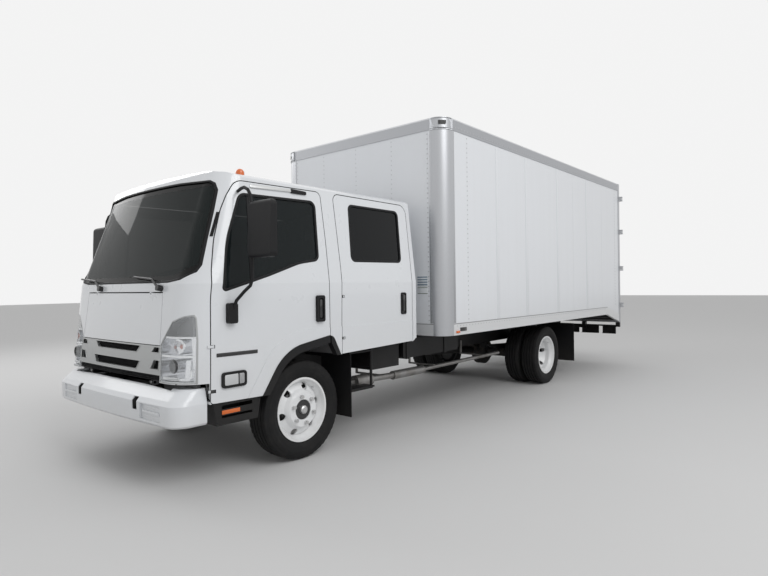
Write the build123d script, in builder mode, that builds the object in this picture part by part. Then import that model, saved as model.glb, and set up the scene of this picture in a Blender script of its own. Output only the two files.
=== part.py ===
from build123d import *
import math
import os

# Crew-cab box truck. Frame: +X is the vehicle's left, -Y is forward, +Z is up, ground at z = 0.
# Stations (s) are measured rearwards in mm; the bumper's front face is at bumper_front_s.

# Overall stations
bumper_front_s = -75.0
box_rear_s = 8276.0
cargo_pivot_out = 35.0
cargo_barrel_r = 14.0
mid_s = (bumper_front_s + box_rear_s + cargo_pivot_out + cargo_barrel_r) / 2

# Chassis
front_axle_s = 1107.0
rear_axle_s = 5577.0
rail_half_out = 425.0
rail_height = 200.0
rail_top_z = 800.0
rail_flange = 65.0
rail_web = 8.0
rail_front_s = 165.0
rail_rear_s = 7560.0

# Wheels
tyre_r = 403.5
tyre_width = 226.0
rim_flange_r = 262.0
rim_well_r = 222.0
rim_half = 93.0
front_tyre_x = 845.0
rear_inner_x = 697.0
rear_outer_x = 955.0
kingpin_x = 700.0
axle_z = tyre_r
nut_pcd_r = 111.0
hub_bore_r = 82.0

# Cab skin: plan sections from the sill to the roof
cab_rear_s = 2570.0
cab_sections = [
    # z, half width, front station at the centre line, crown of the front, corner radius
    (560.0, 1010.0, -20.0, 16.0, 262.0),
    (1440.0, 1012.0, 78.0, 16.0, 262.0),
    (2330.0, 909.7, 336.0, 66.0, 214.0),
]
roof_low_z = 2205.0
roof_front_s = 292.0
roof_bow_r = 5333.0
roof_top_z = 2330.0
flare_out = 5.0
wall = 46.0
door_gap = 7.0
hinge_pin_r = 3.0
hinge_eye_r = 6.5
front_hinge_x = 997.0
front_hinge_s = 242.0
front_hinge_z = [690.0, 1000.0]
crew_hinge_x = 1004.0
crew_hinge_s = 1530.0
crew_hinge_z = [960.0, 1320.0]
lid_hinge_s = 80.0
lid_hinge_z = 1378.5
lid_hinge_x = 450.0
lid_pin_r = 2.4
tilt_s = 64.0
tilt_z = 730.0
tilt_lug_x = 504.0
tilt_pin_r = 10.0

# Box
box_half = 1219.0
box_front_s = 2790.0
box_floor_top = 1000.0
box_bottom_z = 881.0
box_side_rail_top = 1005.0
box_top_rail_z = 3014.0
box_top_z = 3137.0
post_r = 152.0
tail_bend_s = 7606.0
tail_drop = 165.0
panel_t = 20.0

seat_gap = 0.3


def y_at(s):
    return s - mid_s


def block(xs, ss, zs, mode=Mode.ADD):
    """A box given by its spans in x, station and z."""
    with Locations(((xs[0] + xs[1]) / 2, y_at((ss[0] + ss[1]) / 2), (zs[0] + zs[1]) / 2)):
        Box(abs(xs[1] - xs[0]), abs(ss[1] - ss[0]), abs(zs[1] - zs[0]), mode=mode)


def corner_path(points):
    """Lines through (u, v) corners, with a tangent arc at each corner given as (u, v, radius)."""
    ends = []
    for i, point in enumerate(points):
        corner = Vector(point[0], point[1])
        if len(point) == 2:
            ends.append((corner, None, corner))
            continue
        back = (Vector(*points[i - 1][:2]) - corner).normalized()
        ahead = (Vector(*points[(i + 1) % len(points)][:2]) - corner).normalized()
        half = math.radians(back.get_angle(ahead) / 2)
        run = point[2] / math.tan(half)
        inward = (back + ahead).normalized()
        middle = corner + inward * (point[2] / math.sin(half) - point[2])
        ends.append((corner + back * run, middle, corner + ahead * run))
    for i, (start, middle, end) in enumerate(ends):
        if middle:
            ThreePointArc(start, middle, end)
        following = ends[(i + 1) % len(ends)][0]
        if (following - end).length > 0.001:
            Line(end, following)


def side_corners(points):
    return [(y_at(point[0]), *point[1:]) for point in points]


def side_prism(points, xs, mode=Mode.ADD, radius=0.0):
    """A polygon of (station, z) corners run along x."""
    plane = Plane(origin=(xs[0], 0, 0), x_dir=(0, 1, 0), z_dir=(1, 0, 0))
    with BuildSketch(plane) as face:
        with BuildLine():
            corner_path(side_corners(points))
        make_face()
        if radius:
            fillet(face.vertices(), radius)
    extrude(face.sketch, amount=xs[1] - xs[0], mode=mode)


def front_prism(points, ss, mode=Mode.ADD, radius=0.0):
    """A polygon of (x, z) corners run along the vehicle."""
    plane = Plane(origin=(0, y_at(ss[1]), 0), x_dir=(1, 0, 0), z_dir=(0, -1, 0))
    with BuildSketch(plane) as face:
        with BuildLine():
            corner_path(points)
        make_face()
        if radius:
            fillet(face.vertices(), radius)
    extrude(face.sketch, amount=ss[1] - ss[0], mode=mode)


def rod(p, q, r, mode=Mode.ADD):
    """A round bar between two points given as (x, station, z)."""
    a = Vector(p[0], y_at(p[1]), p[2])
    b = Vector(q[0], y_at(q[1]), q[2])
    run = b - a
    with BuildSketch(Plane(origin=a, z_dir=run)) as face:
        Circle(r)
    extrude(face.sketch, amount=run.length, mode=mode)


def ring(centre, direction, outer, inner, length, mode=Mode.ADD):
    """A tube of the given length whose middle is at centre (x, station, z)."""
    axis = Vector(*direction).normalized()
    mid = Vector(centre[0], y_at(centre[1]), centre[2])
    with BuildSketch(Plane(origin=mid - axis * (length / 2), z_dir=axis)) as face:
        Circle(outer)
        if inner:
            Circle(inner, mode=Mode.SUBTRACT)
    extrude(face.sketch, amount=length, mode=mode)


def turned(points, x, s, z, side=1.0, mode=Mode.ADD):
    """A profile of (offset outwards, radius) corners turned about an axle along x."""
    origin = (x, y_at(s), z)
    with BuildSketch(Plane(origin=origin, x_dir=(side, 0, 0), z_dir=(0, -side, 0))) as face:
        with BuildLine():
            Polyline(points, close=True)
        make_face()
    revolve(face.sketch, axis=Axis(origin, (1, 0, 0)), mode=mode)


def save(part, name):
    part.label = name
    export_step(part, f"parts/{name}.step")


os.makedirs("parts", exist_ok=True)


# Cab skin solids
def section_face(z, half, front, crown, radius, inset):
    r = radius - inset
    w = half - inset
    f = front + inset
    xc = half - radius
    c = crown
    k = math.sqrt(0.5)
    rear = cab_rear_s - inset
    with BuildSketch(Plane.XY.offset(z)) as face:
        with BuildLine():
            ThreePointArc((-xc, y_at(f + c)), (0, y_at(f)), (xc, y_at(f + c)))
            ThreePointArc((xc, y_at(f + c)), (xc + r * k, y_at(f + c + r - r * k)), (w, y_at(f + c + r)))
            Line((w, y_at(f + c + r)), (w, y_at(rear)))
            Line((w, y_at(rear)), (-w, y_at(rear)))
            Line((-w, y_at(rear)), (-w, y_at(f + c + r)))
            ThreePointArc((-w, y_at(f + c + r)), (-xc - r * k, y_at(f + c + r - r * k)), (-xc, y_at(f + c)))
        make_face()
    return face.sketch


def cab_block(inset):
    """The cab's outer form drawn in by inset on every side but the floor."""
    d = inset
    with BuildPart() as form:
        loft([section_face(*row, d) for row in cab_sections], ruled=True)
        plane = Plane(origin=(0, y_at(2700), 0), x_dir=(1, 0, 0), z_dir=(0, -1, 0))
        with BuildSketch(plane):
            with BuildLine():
                Line((-1100, 500), (1100, 500))
                Line((1100, 500), (1100, 2105))
                Line((1100, 2105), (946 - d, 2105))
                ThreePointArc((946 - d, 2105), (921 - d * 0.9, 2232 - d * 0.55), (830 - d * 0.1, 2266 - d))
                ThreePointArc((830 - d * 0.1, 2266 - d), (0, 2325 - d), (-830 + d * 0.1, 2266 - d))
                ThreePointArc((-830 + d * 0.1, 2266 - d), (-921 + d * 0.9, 2232 - d * 0.55), (-946 + d, 2105))
                Line((-946 + d, 2105), (-1100, 2105))
                Line((-1100, 2105), (-1100, 500))
            make_face()
        extrude(amount=2900, mode=Mode.INTERSECT)
        plane = Plane(origin=(-1100, 0, 0), x_dir=(0, 1, 0), z_dir=(1, 0, 0))
        top = roof_top_z - d
        with BuildSketch(plane):
            with BuildLine():
                Line((y_at(-200), 500), (y_at(2700), 500))
                Line((y_at(2700), 500), (y_at(2700), 2230))
                Line((y_at(2700), 2230), (y_at(cab_rear_s + 6 - d), 2230))
                ThreePointArc(
                    (y_at(cab_rear_s + 6 - d), 2230),
                    (y_at(cab_rear_s - 22 - d), 2306 - d),
                    (y_at(cab_rear_s - 110 - d), top),
                )
                Line((y_at(cab_rear_s - 110 - d), top), (y_at(-200), top))
                Line((y_at(-200), top), (y_at(-200), 500))
            make_face()
        extrude(amount=2200, mode=Mode.INTERSECT)
        axis_s = roof_front_s + roof_bow_r
        with BuildSketch(Plane.YZ) as brow:
            with BuildLine():
                Line((y_at(axis_s), 500), (y_at(-200), 500))
                Line((y_at(-200), 500), (y_at(-200), roof_low_z - d * 0.2))
                Line((y_at(-200), roof_low_z - d * 0.2), (y_at(roof_front_s + d), roof_low_z - d * 0.2))
                ThreePointArc(
                    (y_at(roof_front_s + d), roof_low_z - d * 0.2),
                    (y_at(342 + d * 0.7), 2274 - d * 0.7),
                    (y_at(430 + d * 0.2), 2312 - d),
                )
                Line((y_at(430 + d * 0.2), 2312 - d), (y_at(860), top))
                Line((y_at(860), top), (y_at(axis_s), top))
                Line((y_at(axis_s), top), (y_at(axis_s), 500))
            make_face()
        revolve(brow.sketch, axis=Axis((0, y_at(axis_s), 0), (0, 0, 1)), mode=Mode.INTERSECT)
    return form.part


skin_00 = cab_block(0.0)
skin_22 = cab_block(22.0)
skin_wall = cab_block(wall)
skin_half_flare = cab_block(-flare_out / 2)
skin_flare = cab_block(-flare_out)

# Underside of the cab, front to rear: footwell, wheel arch, crew floor
arch_corner_r = 420.0
arch_line = [(648, 592), (866, 918, arch_corner_r), (1386, 1000, 60), (1480, 823)]
cab_bottom = [(-300, 748), (150, 748), (150, 604), (206, 603)] + arch_line + [(2507, 852), (2560, 880), (2800, 880)]

# Door outlines as (station, z) corners
front_door_line = [
    (212, 606, 20), (646, 596), (866, 922, arch_corner_r), (1356, 998), (1353, 1800, 3000), (1338, 2208, 50),
    (500, 2199, 90), (429, 2085, 300), (375, 1970, 600), (303, 1748, 600), (257, 1534, 600), (234, 1325, 900),
]
crew_door_line = [(1500, 826), (2500, 855, 30), (2512, 2208, 90), (1494, 2212, 60), (1514, 1549, 3000)]
front_window_line = [
    (305, 1372, 28), (736, 1493, 900), (1043, 1591, 500), (1262, 1622, 60), (1278, 2128, 60), (512, 2112, 80),
    (371, 1749, 900),
]
crew_window_line = [(1646, 1622, 55), (2366, 1629, 55), (2388, 2144, 55), (1672, 2144, 55)]
flare_line = [(509, 560), (509, 596), (820, 1062, 480), (2540, 1064), (2540, 560)]


def outline_offset(points, amount, xs, mode=Mode.ADD, radius=0.0):
    """Side prism of an outline grown (or shrunk) by amount."""
    plane = Plane(origin=(xs[0], 0, 0), x_dir=(0, 1, 0), z_dir=(1, 0, 0))
    with BuildSketch(plane) as face:
        with BuildLine():
            corner_path(side_corners(points))
        make_face()
        if radius:
            fillet(face.vertices(), radius)
        if amount:
            offset(amount=amount, kind=Kind.INTERSECTION)
    extrude(face.sketch, amount=xs[1] - xs[0], mode=mode)


def front_offset(points, amount, ss, mode=Mode.ADD, radius=0.0):
    """Front prism of an outline grown (or shrunk) by amount."""
    plane = Plane(origin=(0, y_at(ss[1]), 0), x_dir=(1, 0, 0), z_dir=(0, -1, 0))
    with BuildSketch(plane) as face:
        with BuildLine():
            corner_path(points)
        make_face()
        if radius:
            fillet(face.vertices(), radius)
        if amount:
            offset(amount=amount, kind=Kind.INTERSECTION)
    extrude(face.sketch, amount=ss[1] - ss[0], mode=mode)


windscreen_line = [
    (-663, 1449), (663, 1449), (804, 1467), (906, 1520), (921, 1569), (901, 1748), (879, 1970), (860, 2125),
    (830, 2180), (786, 2203), (437, 2216), (-437, 2216), (-786, 2203), (-830, 2180),
    (-860, 2125), (-879, 1970), (-901, 1748), (-921, 1569), (-906, 1520), (-804, 1467),
]
lid_low_z = 1006.0
lid_top_z = 1376.0
lid_line = [(-638, lid_low_z), (638, lid_low_z), (612, lid_top_z), (-612, lid_top_z)]
lid_notch_half = 9.0
lid_notch_z = lid_top_z - 8
lamp_line = [
    (676, 752), (968, 752), (956, 1052), (943, 1200), (930, 1224), (870, 1216), (768, 1178), (680, 1064), (644, 1008),
]
grille_line = [(-675.4, 752), (675.4, 752), (643.6, 1001), (-643.6, 1001)]

skin_05 = cab_block(5.0)
skin_06 = cab_block(5.0 + seat_gap)
skin_10 = cab_block(10.0)
skin_15 = cab_block(15.0)
skin_lining = cab_block(62.0)

# Cab body: steel shell with floor, firewall and pillars
floor_line = [
    (-300, 1440), (185, 1410), (185, 650), (610, 650), (788, 966), (1500, 1042), (1562, 905), (2800, 905),
]
with BuildPart() as cavity:
    add(skin_wall)
    side_prism(floor_line + [(2800, 2400), (-300, 2400)], (-1000, 1000), Mode.INTERSECT)
    block((-536, 536), (100, 840), (500, 970), Mode.SUBTRACT)

with BuildPart() as flare_band:
    add(skin_half_flare)
    outline_offset(flare_line, 0, (-1100, 1100), Mode.INTERSECT)
    with BuildPart(mode=Mode.PRIVATE) as outer_step:
        add(skin_flare)
        outline_offset(flare_line, -flare_out / 2, (-1100, 1100), Mode.INTERSECT)
    add(outer_step.part)
    block((-960, 960), (-200, 2700), (400, 1200), Mode.SUBTRACT)

with BuildPart() as cab_shell:
    add(skin_00)
    add(flare_band.part)
    side_prism(cab_bottom + [(2800, 400), (-300, 400)], (-1100, 1100), Mode.SUBTRACT)
    add(cavity.part, mode=Mode.SUBTRACT)
    block((-490, 490), (70, 1460), (400, 905), Mode.SUBTRACT)
    front_prism(grille_line, (-200, 86), Mode.SUBTRACT)
    block((-675.4, 675.4), (-200, 86), (700, 753), Mode.SUBTRACT)
    for side in (1, -1):
        block(sorted((side * 920, side * 1030)), (-200, 206), (500, 748), Mode.SUBTRACT)
    front_offset(windscreen_line, 0, (-100, 480), Mode.SUBTRACT)
    front_offset(lid_line, 5, (-200, 122), Mode.SUBTRACT)
    block((-617, 617), (-200, 122), (lid_top_z - 10, lid_top_z + 9), Mode.SUBTRACT)
    for x in (-lid_hinge_x, lid_hinge_x):
        block((x - 6, x + 6), (lid_hinge_s - 4, lid_hinge_s + 30), (lid_hinge_z - 4.5, lid_top_z + 11))
        rod((x - 8, lid_hinge_s, lid_hinge_z), (x + 8, lid_hinge_s, lid_hinge_z), lid_pin_r + 0.3, Mode.SUBTRACT)
    front_prism([(-640, 1600), (640, 1600), (640, 2090), (-640, 2090)], (2450, 2650), Mode.SUBTRACT, 45)
    for side in (1, -1):
        front_prism([(side * x, z) for x, z in lamp_line], (-100, 152), Mode.SUBTRACT)
        low, high = sorted((side * 935, side * 1100))
        outline_offset(front_door_line, door_gap, (low, high), Mode.SUBTRACT)
        outline_offset(crew_door_line, door_gap, (low, high), Mode.SUBTRACT)
        low, high = sorted((side * 790, side * 1000))
        outline_offset([(300, 1080), (1356, 1080)] + front_door_line[4:], door_gap, (low, high), Mode.SUBTRACT)
        outline_offset([(1504, 1000), (2500, 1000)] + crew_door_line[2:], door_gap, (low, high), Mode.SUBTRACT)
    # Door hinge eyes on the pillars
    for x, s, heights in ((front_hinge_x, front_hinge_s, front_hinge_z), (crew_hinge_x, crew_hinge_s, crew_hinge_z)):
        for side in (1, -1):
            for z in heights:
                block(sorted((side * (x - 7), side * (x + 3))), (s - 44, s), (z - 9, z + 9))
                ring((side * x, s, z), (0, 0, 1), hinge_eye_r, 0, 18)
                ring((side * x, s, z), (0, 0, 1), hinge_pin_r + 0.3, 0, 40, Mode.SUBTRACT)
    # Lugs below the firewall for the tilt pins
    for x in (-tilt_lug_x, tilt_lug_x):
        side_prism([(tilt_s, tilt_z - 20), (tilt_s + 30, tilt_z - 20), (150, 950), (74, 950), (tilt_s, 790)],
                   (x - 12, x + 12))
        rod((x - 12, tilt_s, tilt_z), (x + 12, tilt_s, tilt_z), 22)
        rod((x - 13, tilt_s, tilt_z), (x + 13, tilt_s, tilt_z), tilt_pin_r + 0.5, Mode.SUBTRACT)
save(cab_shell.part, "cab_shell")


# Doors: outer skin to the seam, inner frame stepped in from it
def door(outline, window, hinge, side, name):
    low, high = sorted((side * 700, side * 1100))
    with BuildPart() as skin:
        add(skin_00)
        outline_offset(outline, 0, (low, high), Mode.INTERSECT)
        add(skin_22, mode=Mode.SUBTRACT)
    with BuildPart() as band:
        add(flare_band.part)
        outline_offset(outline, -1, (low, high), Mode.INTERSECT)
        add(skin_10, mode=Mode.SUBTRACT)
    with BuildPart() as frame:
        add(skin_22)
        add(skin_wall, mode=Mode.SUBTRACT)
        outline_offset(outline, -16, (low, high), Mode.INTERSECT)
    with BuildPart() as leaf:
        add(skin.part)
        add(band.part)
        add(frame.part)
        outline_offset(window, 0, (low, high), Mode.SUBTRACT)
        x, s, heights = hinge
        for z in heights:
            block(sorted((side * (x - 14), side * (x + 40))), (s - 60, s + 9), (z - 12, z + 12), Mode.SUBTRACT)
            ring((side * x, s, z), (0, 0, 1), hinge_pin_r, 0, 30)
    save(leaf.part, name)
    with BuildPart() as pane:
        add(skin_10)
        add(skin_15, mode=Mode.SUBTRACT)
        outline_offset(window, -seat_gap, (low, high), Mode.INTERSECT)
    return pane.part


for side, word in ((1, "left"), (-1, "right")):
    hinge = (front_hinge_x, front_hinge_s, front_hinge_z)
    pane = door(front_door_line, front_window_line, hinge, side, f"front_door_{word}")
    save(pane, f"front_door_glass_{word}")
    hinge = (crew_hinge_x, crew_hinge_s, crew_hinge_z)
    pane = door(crew_door_line, crew_window_line, hinge, side, f"crew_door_{word}")
    save(pane, f"crew_door_glass_{word}")

# Windscreen and rear window
with BuildPart() as windscreen:
    add(skin_10)
    add(skin_15, mode=Mode.SUBTRACT)
    front_offset(windscreen_line, -seat_gap, (-100, 480), Mode.INTERSECT)
with BuildPart() as cab_glass:
    add(windscreen.part)
    front_prism([(-639.7, 1600.3), (639.7, 1600.3), (639.7, 2089.7), (-639.7, 2089.7)], (2545, 2550), Mode.ADD, 45)
save(cab_glass.part, "cab_glass")

# Front service lid
with BuildPart() as front_panel:
    add(skin_00)
    add(skin_22, mode=Mode.SUBTRACT)
    notched = lid_line[:3]
    for x in (lid_hinge_x, -lid_hinge_x):
        high, low = x + lid_notch_half, x - lid_notch_half
        notched += [(high, lid_top_z), (high, lid_notch_z), (low, lid_notch_z), (low, lid_top_z)]
    front_prism(notched + lid_line[3:], (-200, 300), Mode.INTERSECT)
    for x in (-lid_hinge_x, lid_hinge_x):
        for dx in (-14, 14):
            block((x + dx - 4, x + dx + 4), (lid_hinge_s - 1, lid_hinge_s + 16), (lid_top_z - 14, lid_hinge_z + 3.5))
        rod((x - 14, lid_hinge_s, lid_hinge_z), (x + 14, lid_hinge_s, lid_hinge_z), lid_pin_r)
save(front_panel.part, "front_panel")

# Grille: silver frame with two rows of openings and slanted dividers
grille_t = 30.0
grille_low_z = 797.0
grille_rows = [
    # middle opening: low z, high z, half width low, half width high
    (944.0, 990.0, 320.0, 376.0),
    (822.0, 880.0, 338.0, 384.0),
]
grille_ends = [
    # outer openings: low z, high z, inner x low, inner x high, outer x
    (955.0, 991.0, 536.0, 574.0, 634.0),
    (837.0, 899.0, 540.0, 580.0, 646.0),
]
with BuildPart() as front_grille:
    add(skin_00)
    add(cab_block(grille_t), mode=Mode.SUBTRACT)
    front_offset(grille_line, -seat_gap, (-200, 86), Mode.INTERSECT)
    block((-700, 700), (-200, 100), (700, grille_low_z), Mode.SUBTRACT)
    for low_z, high_z, low_x, high_x in grille_rows:
        points = [(-low_x, low_z, 8), (low_x, low_z, 8), (high_x, high_z, 8), (-high_x, high_z, 8)]
        front_prism(points, (-200, 200), Mode.SUBTRACT)
    for low_z, high_z, low_x, high_x, end_x in grille_ends:
        for side in (1, -1):
            points = [(side * low_x, low_z), (side * end_x, low_z), (side * end_x, high_z), (side * high_x, high_z)]
            front_prism(points, (-200, 200), Mode.SUBTRACT)
save(front_grille.part, "front_grille")

# Black mesh and lower air slot behind the grille
with BuildPart() as grille_mesh:
    add(cab_block(grille_t + seat_gap))
    add(cab_block(grille_t + 6), mode=Mode.SUBTRACT)
    front_offset(grille_line, -4, (-200, 86), Mode.INTERSECT)
save(grille_mesh.part, "grille_mesh")

# Headlamps: housing with three chambers behind a clear lens
with BuildPart() as headlamps:
    for side in (1, -1):
        with BuildPart(mode=Mode.PRIVATE) as housing:
            add(skin_06)
            points = [(side * x, z) for x, z in lamp_line]
            front_offset(points, -seat_gap, (-100, 152 - seat_gap), Mode.INTERSECT)
            front_prism([(side * x, z) for x, z in [(686, 764), (954, 764), (948, 930), (666, 930)]],
                        (-100, 120), Mode.SUBTRACT)
            front_prism([(side * x, z) for x, z in [(664, 944), (948, 944), (944, 1060), (694, 1060), (660, 1008)]],
                        (-100, 122), Mode.SUBTRACT)
            front_prism([(side * x, z) for x, z in [(700, 1074), (942, 1074), (932, 1206), (872, 1202), (778, 1166)]],
                        (-100, 132), Mode.SUBTRACT)
            ring((side * 832, 96, 1003), (0, 1, 0), 54, 42, 60)
            ring((side * 806, 90, 868), (0, 1, 0), 48, 0, 70)
            ring((side * 806, 66, 868), (0, 1, 0), 38, 0, 30, Mode.SUBTRACT)
            block(sorted((side * 690, side * 930)), (60, 122), (772, 790))
            block(sorted((side * 902, side * 926)), (80, 122), (772, 912))
            add(skin_06, mode=Mode.INTERSECT)
        add(housing.part)
save(headlamps.part, "headlamps")

with BuildPart() as headlamp_lenses:
    for side in (1, -1):
        with BuildPart(mode=Mode.PRIVATE) as lens:
            add(skin_00)
            add(skin_05, mode=Mode.SUBTRACT)
            front_offset([(side * x, z) for x, z in lamp_line], -seat_gap, (-100, 152 - seat_gap), Mode.INTERSECT)
        add(lens.part)
save(headlamp_lenses.part, "headlamp_lenses")

# Wheel arch trims, side lamp bezels and handles in black plastic
trim_in_x = 968.0
trim_out_x = 1021.0
trim_inner_r = 380.0
above_cab_bottom = cab_bottom + [(2800, 2400), (-300, 2400)]
with BuildPart() as cab_side_trim:
    for side in (1, -1):
        low, high = sorted((side * trim_in_x, side * trim_out_x))
        side_prism([(1366, 1010), (1420, 1010), (1500, 850), (1476, 822), (1432, 820), (1366, 934, 30)], (low, high))
        outline_offset(above_cab_bottom, seat_gap, (low, high), Mode.SUBTRACT)
save(cab_side_trim.part, "cab_side_trim")

for side, word in ((1, "left"), (-1, "right")):
    low, high = sorted((side * trim_in_x, side * trim_out_x))
    with BuildPart() as trim:
        side_prism([(600, 594.5), (760, 960), (1352, 1010), (1352, 934), (905, 862, trim_inner_r), (708, 594.5)],
                   (low, high))
        outline_offset(front_door_line, seat_gap, (low, high), Mode.SUBTRACT)
        with BuildPart(mode=Mode.PRIVATE) as fittings:
            low, high = sorted((side * 1012.3, side * 1036))
            side_prism([(1196, 1118, 18), (1284, 1118, 18), (1284, 1336, 18), (1196, 1336, 18)], (low, high))
            side_prism([(1216, 1142, 10), (1264, 1142, 10), (1264, 1312, 10), (1216, 1312, 10)],
                       sorted((side * 1022, side * 1040)), Mode.SUBTRACT)
            side_prism([(1222, 1150, 8), (1252, 1150, 8), (1252, 1304, 8), (1222, 1304, 8)],
                       sorted((side * 1021, side * 1032)))
            low, high = sorted((side * 1010.9, side * 1024))
            side_prism([(292, 700, 24), (500, 700, 24), (500, 812, 24), (292, 812, 24)], (low, high))
            side_prism([(312, 716, 14), (484, 716, 14), (484, 796, 14), (312, 796, 14)],
                       sorted((side * 1016, side * 1040)), Mode.SUBTRACT)
        add(fittings.part)
    save(trim.part, f"front_door_trim_{word}")

# Mirrors on bent tubes
mirror_tube_r = 12.0
mirror_tube = [
    (1040, 375, 1250), (1062, 392, 1318), (1104, 428, 1380), (1138, 456, 1422), (1150, 465, 1470),
    (1150, 465, 2010), (1138, 466, 2066), (1104, 470, 2108), (1052, 478, 2130), (1000, 489, 2130), (940, 502, 2118),
]
for side, word in ((1, "left"), (-1, "right")):
    with BuildPart() as mirror:
        low, high = sorted((side * 1012.3, side * 1052))
        side_prism([(336, 1155, 16), (412, 1155, 16), (412, 1300, 16), (336, 1300, 16)], (low, high))
        for start, end in zip(mirror_tube, mirror_tube[1:]):
            rod((side * start[0], *start[1:]), (side * end[0], *end[1:]), mirror_tube_r)
        for x, s, z in mirror_tube[1:-1]:
            with Locations((side * x, y_at(s), z)):
                Sphere(mirror_tube_r)
        low, high = sorted((side * 1142, side * 1392))
        with BuildPart(mode=Mode.PRIVATE) as head:
            side_prism([(432, 1616, 24), (498, 1616, 12), (498, 2017, 12), (446, 2017, 30)], (low, high))
            front_prism([(low, 1616, 36), (high, 1616, 36), (high, 2017, 44), (low, 2017, 44)], (400, 520), Mode.INTERSECT)
            front_prism([(low + 20, 1640, 22), (high - 20, 1640, 22), (high - 20, 1996, 26), (low + 20, 1996, 26)],
                        (492, 520), Mode.SUBTRACT)
        add(head.part)
    save(mirror.part, f"mirror_{word}")

# Wipers
with BuildPart() as wipers:
    for x in (596, -360):
        rod((x, 110, 1403), (x, 46, 1417), 22)
        rod((x, 54, 1414), (x - 120, 76, 1478), 9)
        rod((x - 120, 76, 1478), (x - 420, 88, 1500), 8)
    add(skin_00, mode=Mode.SUBTRACT)
save(wipers.part, "wipers")

# Roof marker lamps: round domes, three in the middle and one at each end
roof_markers = [
    # x, station, roof height there, dome radius
    (-790.0, 630.0, 2270.0, 34.0),
    (-150.0, 600.0, 2318.0, 28.0),
    (0.0, 600.0, 2318.0, 28.0),
    (150.0, 600.0, 2318.0, 28.0),
    (790.0, 630.0, 2270.0, 34.0),
]
with BuildPart() as roof_marker_lamps:
    for x, s, z, r in roof_markers:
        with Locations((x, y_at(s), z)):
            Cylinder(r, 40)
        with Locations((x, y_at(s), z + 20)):
            Sphere(r)
    add(skin_00, mode=Mode.SUBTRACT)
save(roof_marker_lamps.part, "roof_marker_lamps")

# Dashboard
with BuildPart() as dashboard:
    side_prism([
        (185 + seat_gap, 1380), (185 + seat_gap, 1150), (330, 1060), (430, 1070), (476, 1180), (470, 1310), (410, 1385), (300, 1412),
    ], (-900, 900))
    add(skin_lining, mode=Mode.INTERSECT)
    rod((480, 372, 990), (480, 560, 1330), 28 + seat_gap, Mode.SUBTRACT)
save(dashboard.part, "dashboard")

# Steering wheel and column
wheel_up = Vector(0, 0.486, 0.874)
with BuildPart() as steering_wheel:
    rod((480, 372, 990), (480, 560, 1330), 28)
    hub = Vector(480, y_at(560), 1330)
    with BuildSketch(Plane(origin=hub, x_dir=(1, 0, 0), z_dir=(0, -wheel_up.Z, wheel_up.Y))) as tube:
        with Locations((208, 0)):
            Circle(15)
    revolve(tube.sketch, axis=Axis(hub, wheel_up))
    block((280, 680), (548, 572), (1316, 1340))
save(steering_wheel.part, "steering_wheel")

# Seats
seats = [
    # x low, x high
    (250.0, 800.0),
    (-800.0, 180.0),
]
with BuildPart() as cab_seats:
    for x0, x1 in seats:
        side_prism([(830, 970.8), (1330, 1024.2), (1330, 1180), (830, 1180)], (x0 + 40, x1 - 40))
        side_prism([(800, 1150), (1320, 1130), (1320, 1240), (800, 1270)], (x0, x1), radius=30)
        side_prism([(1250, 1200), (1370, 1200), (1470, 1830), (1370, 1840)], (x0, x1), radius=30)
    side_prism([(2010, 905.3), (2420, 905.3), (2420, 1200), (2010, 1200)], (-780, 780))
    side_prism([(1970, 1180), (2440, 1160), (2440, 1270), (1970, 1300)], (-840, 840), radius=30)
    side_prism([(2350, 1230), (2460, 1230), (2505, 1800), (2420, 1810)], (-840, 840), radius=30)
save(cab_seats.part, "cab_seats")

# Cab steps below the front doors
with BuildPart() as cab_steps:
    for side in (1, -1):
        low, high = sorted((side * 820, side * 1000))
        side_prism([(232, 602.0), (636, 591.8), (610, 440), (262, 440)], (low, high))
        low2, high2 = sorted((side * 840, side * 1010))
        block((low2, high2), (300, 560), (490, 580), Mode.SUBTRACT)
save(cab_steps.part, "cab_steps")

# Front bumper: pressed steel, open behind and below
bumper_sections = [
    # z, half width, front station
    (462.0, 962.0, -58.0),
    (478.0, 976.0, -73.0),
    (612.0, 978.0, -75.0),
    (644.0, 972.0, -50.0),
    (702.0, 958.0, 14.0),
    (715.0, 952.0, 30.0),
]
bumper_core = [
    (450.0, 930.0, -16.0),
    (612.0, 930.0, -24.0),
    (650.0, 930.0, 12.0),
    (700.0, 930.0, 62.0),
]


def bumper_face(z, half, front, r, rear):
    c = 24.0
    k = math.sqrt(0.5)
    f = front
    xc = half - r
    with BuildSketch(Plane.XY.offset(z)) as face:
        with BuildLine():
            ThreePointArc((-xc, y_at(f + c)), (0, y_at(f)), (xc, y_at(f + c)))
            ThreePointArc((xc, y_at(f + c)), (xc + r * k, y_at(f + c + r - r * k)), (half, y_at(f + c + r)))
            Line((half, y_at(f + c + r)), (half, y_at(rear)))
            Line((half, y_at(rear)), (-half, y_at(rear)))
            Line((-half, y_at(rear)), (-half, y_at(f + c + r)))
            ThreePointArc((-half, y_at(f + c + r)), (-xc - r * k, y_at(f + c + r - r * k)), (-xc, y_at(f + c)))
        make_face()
    return face.sketch


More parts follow.
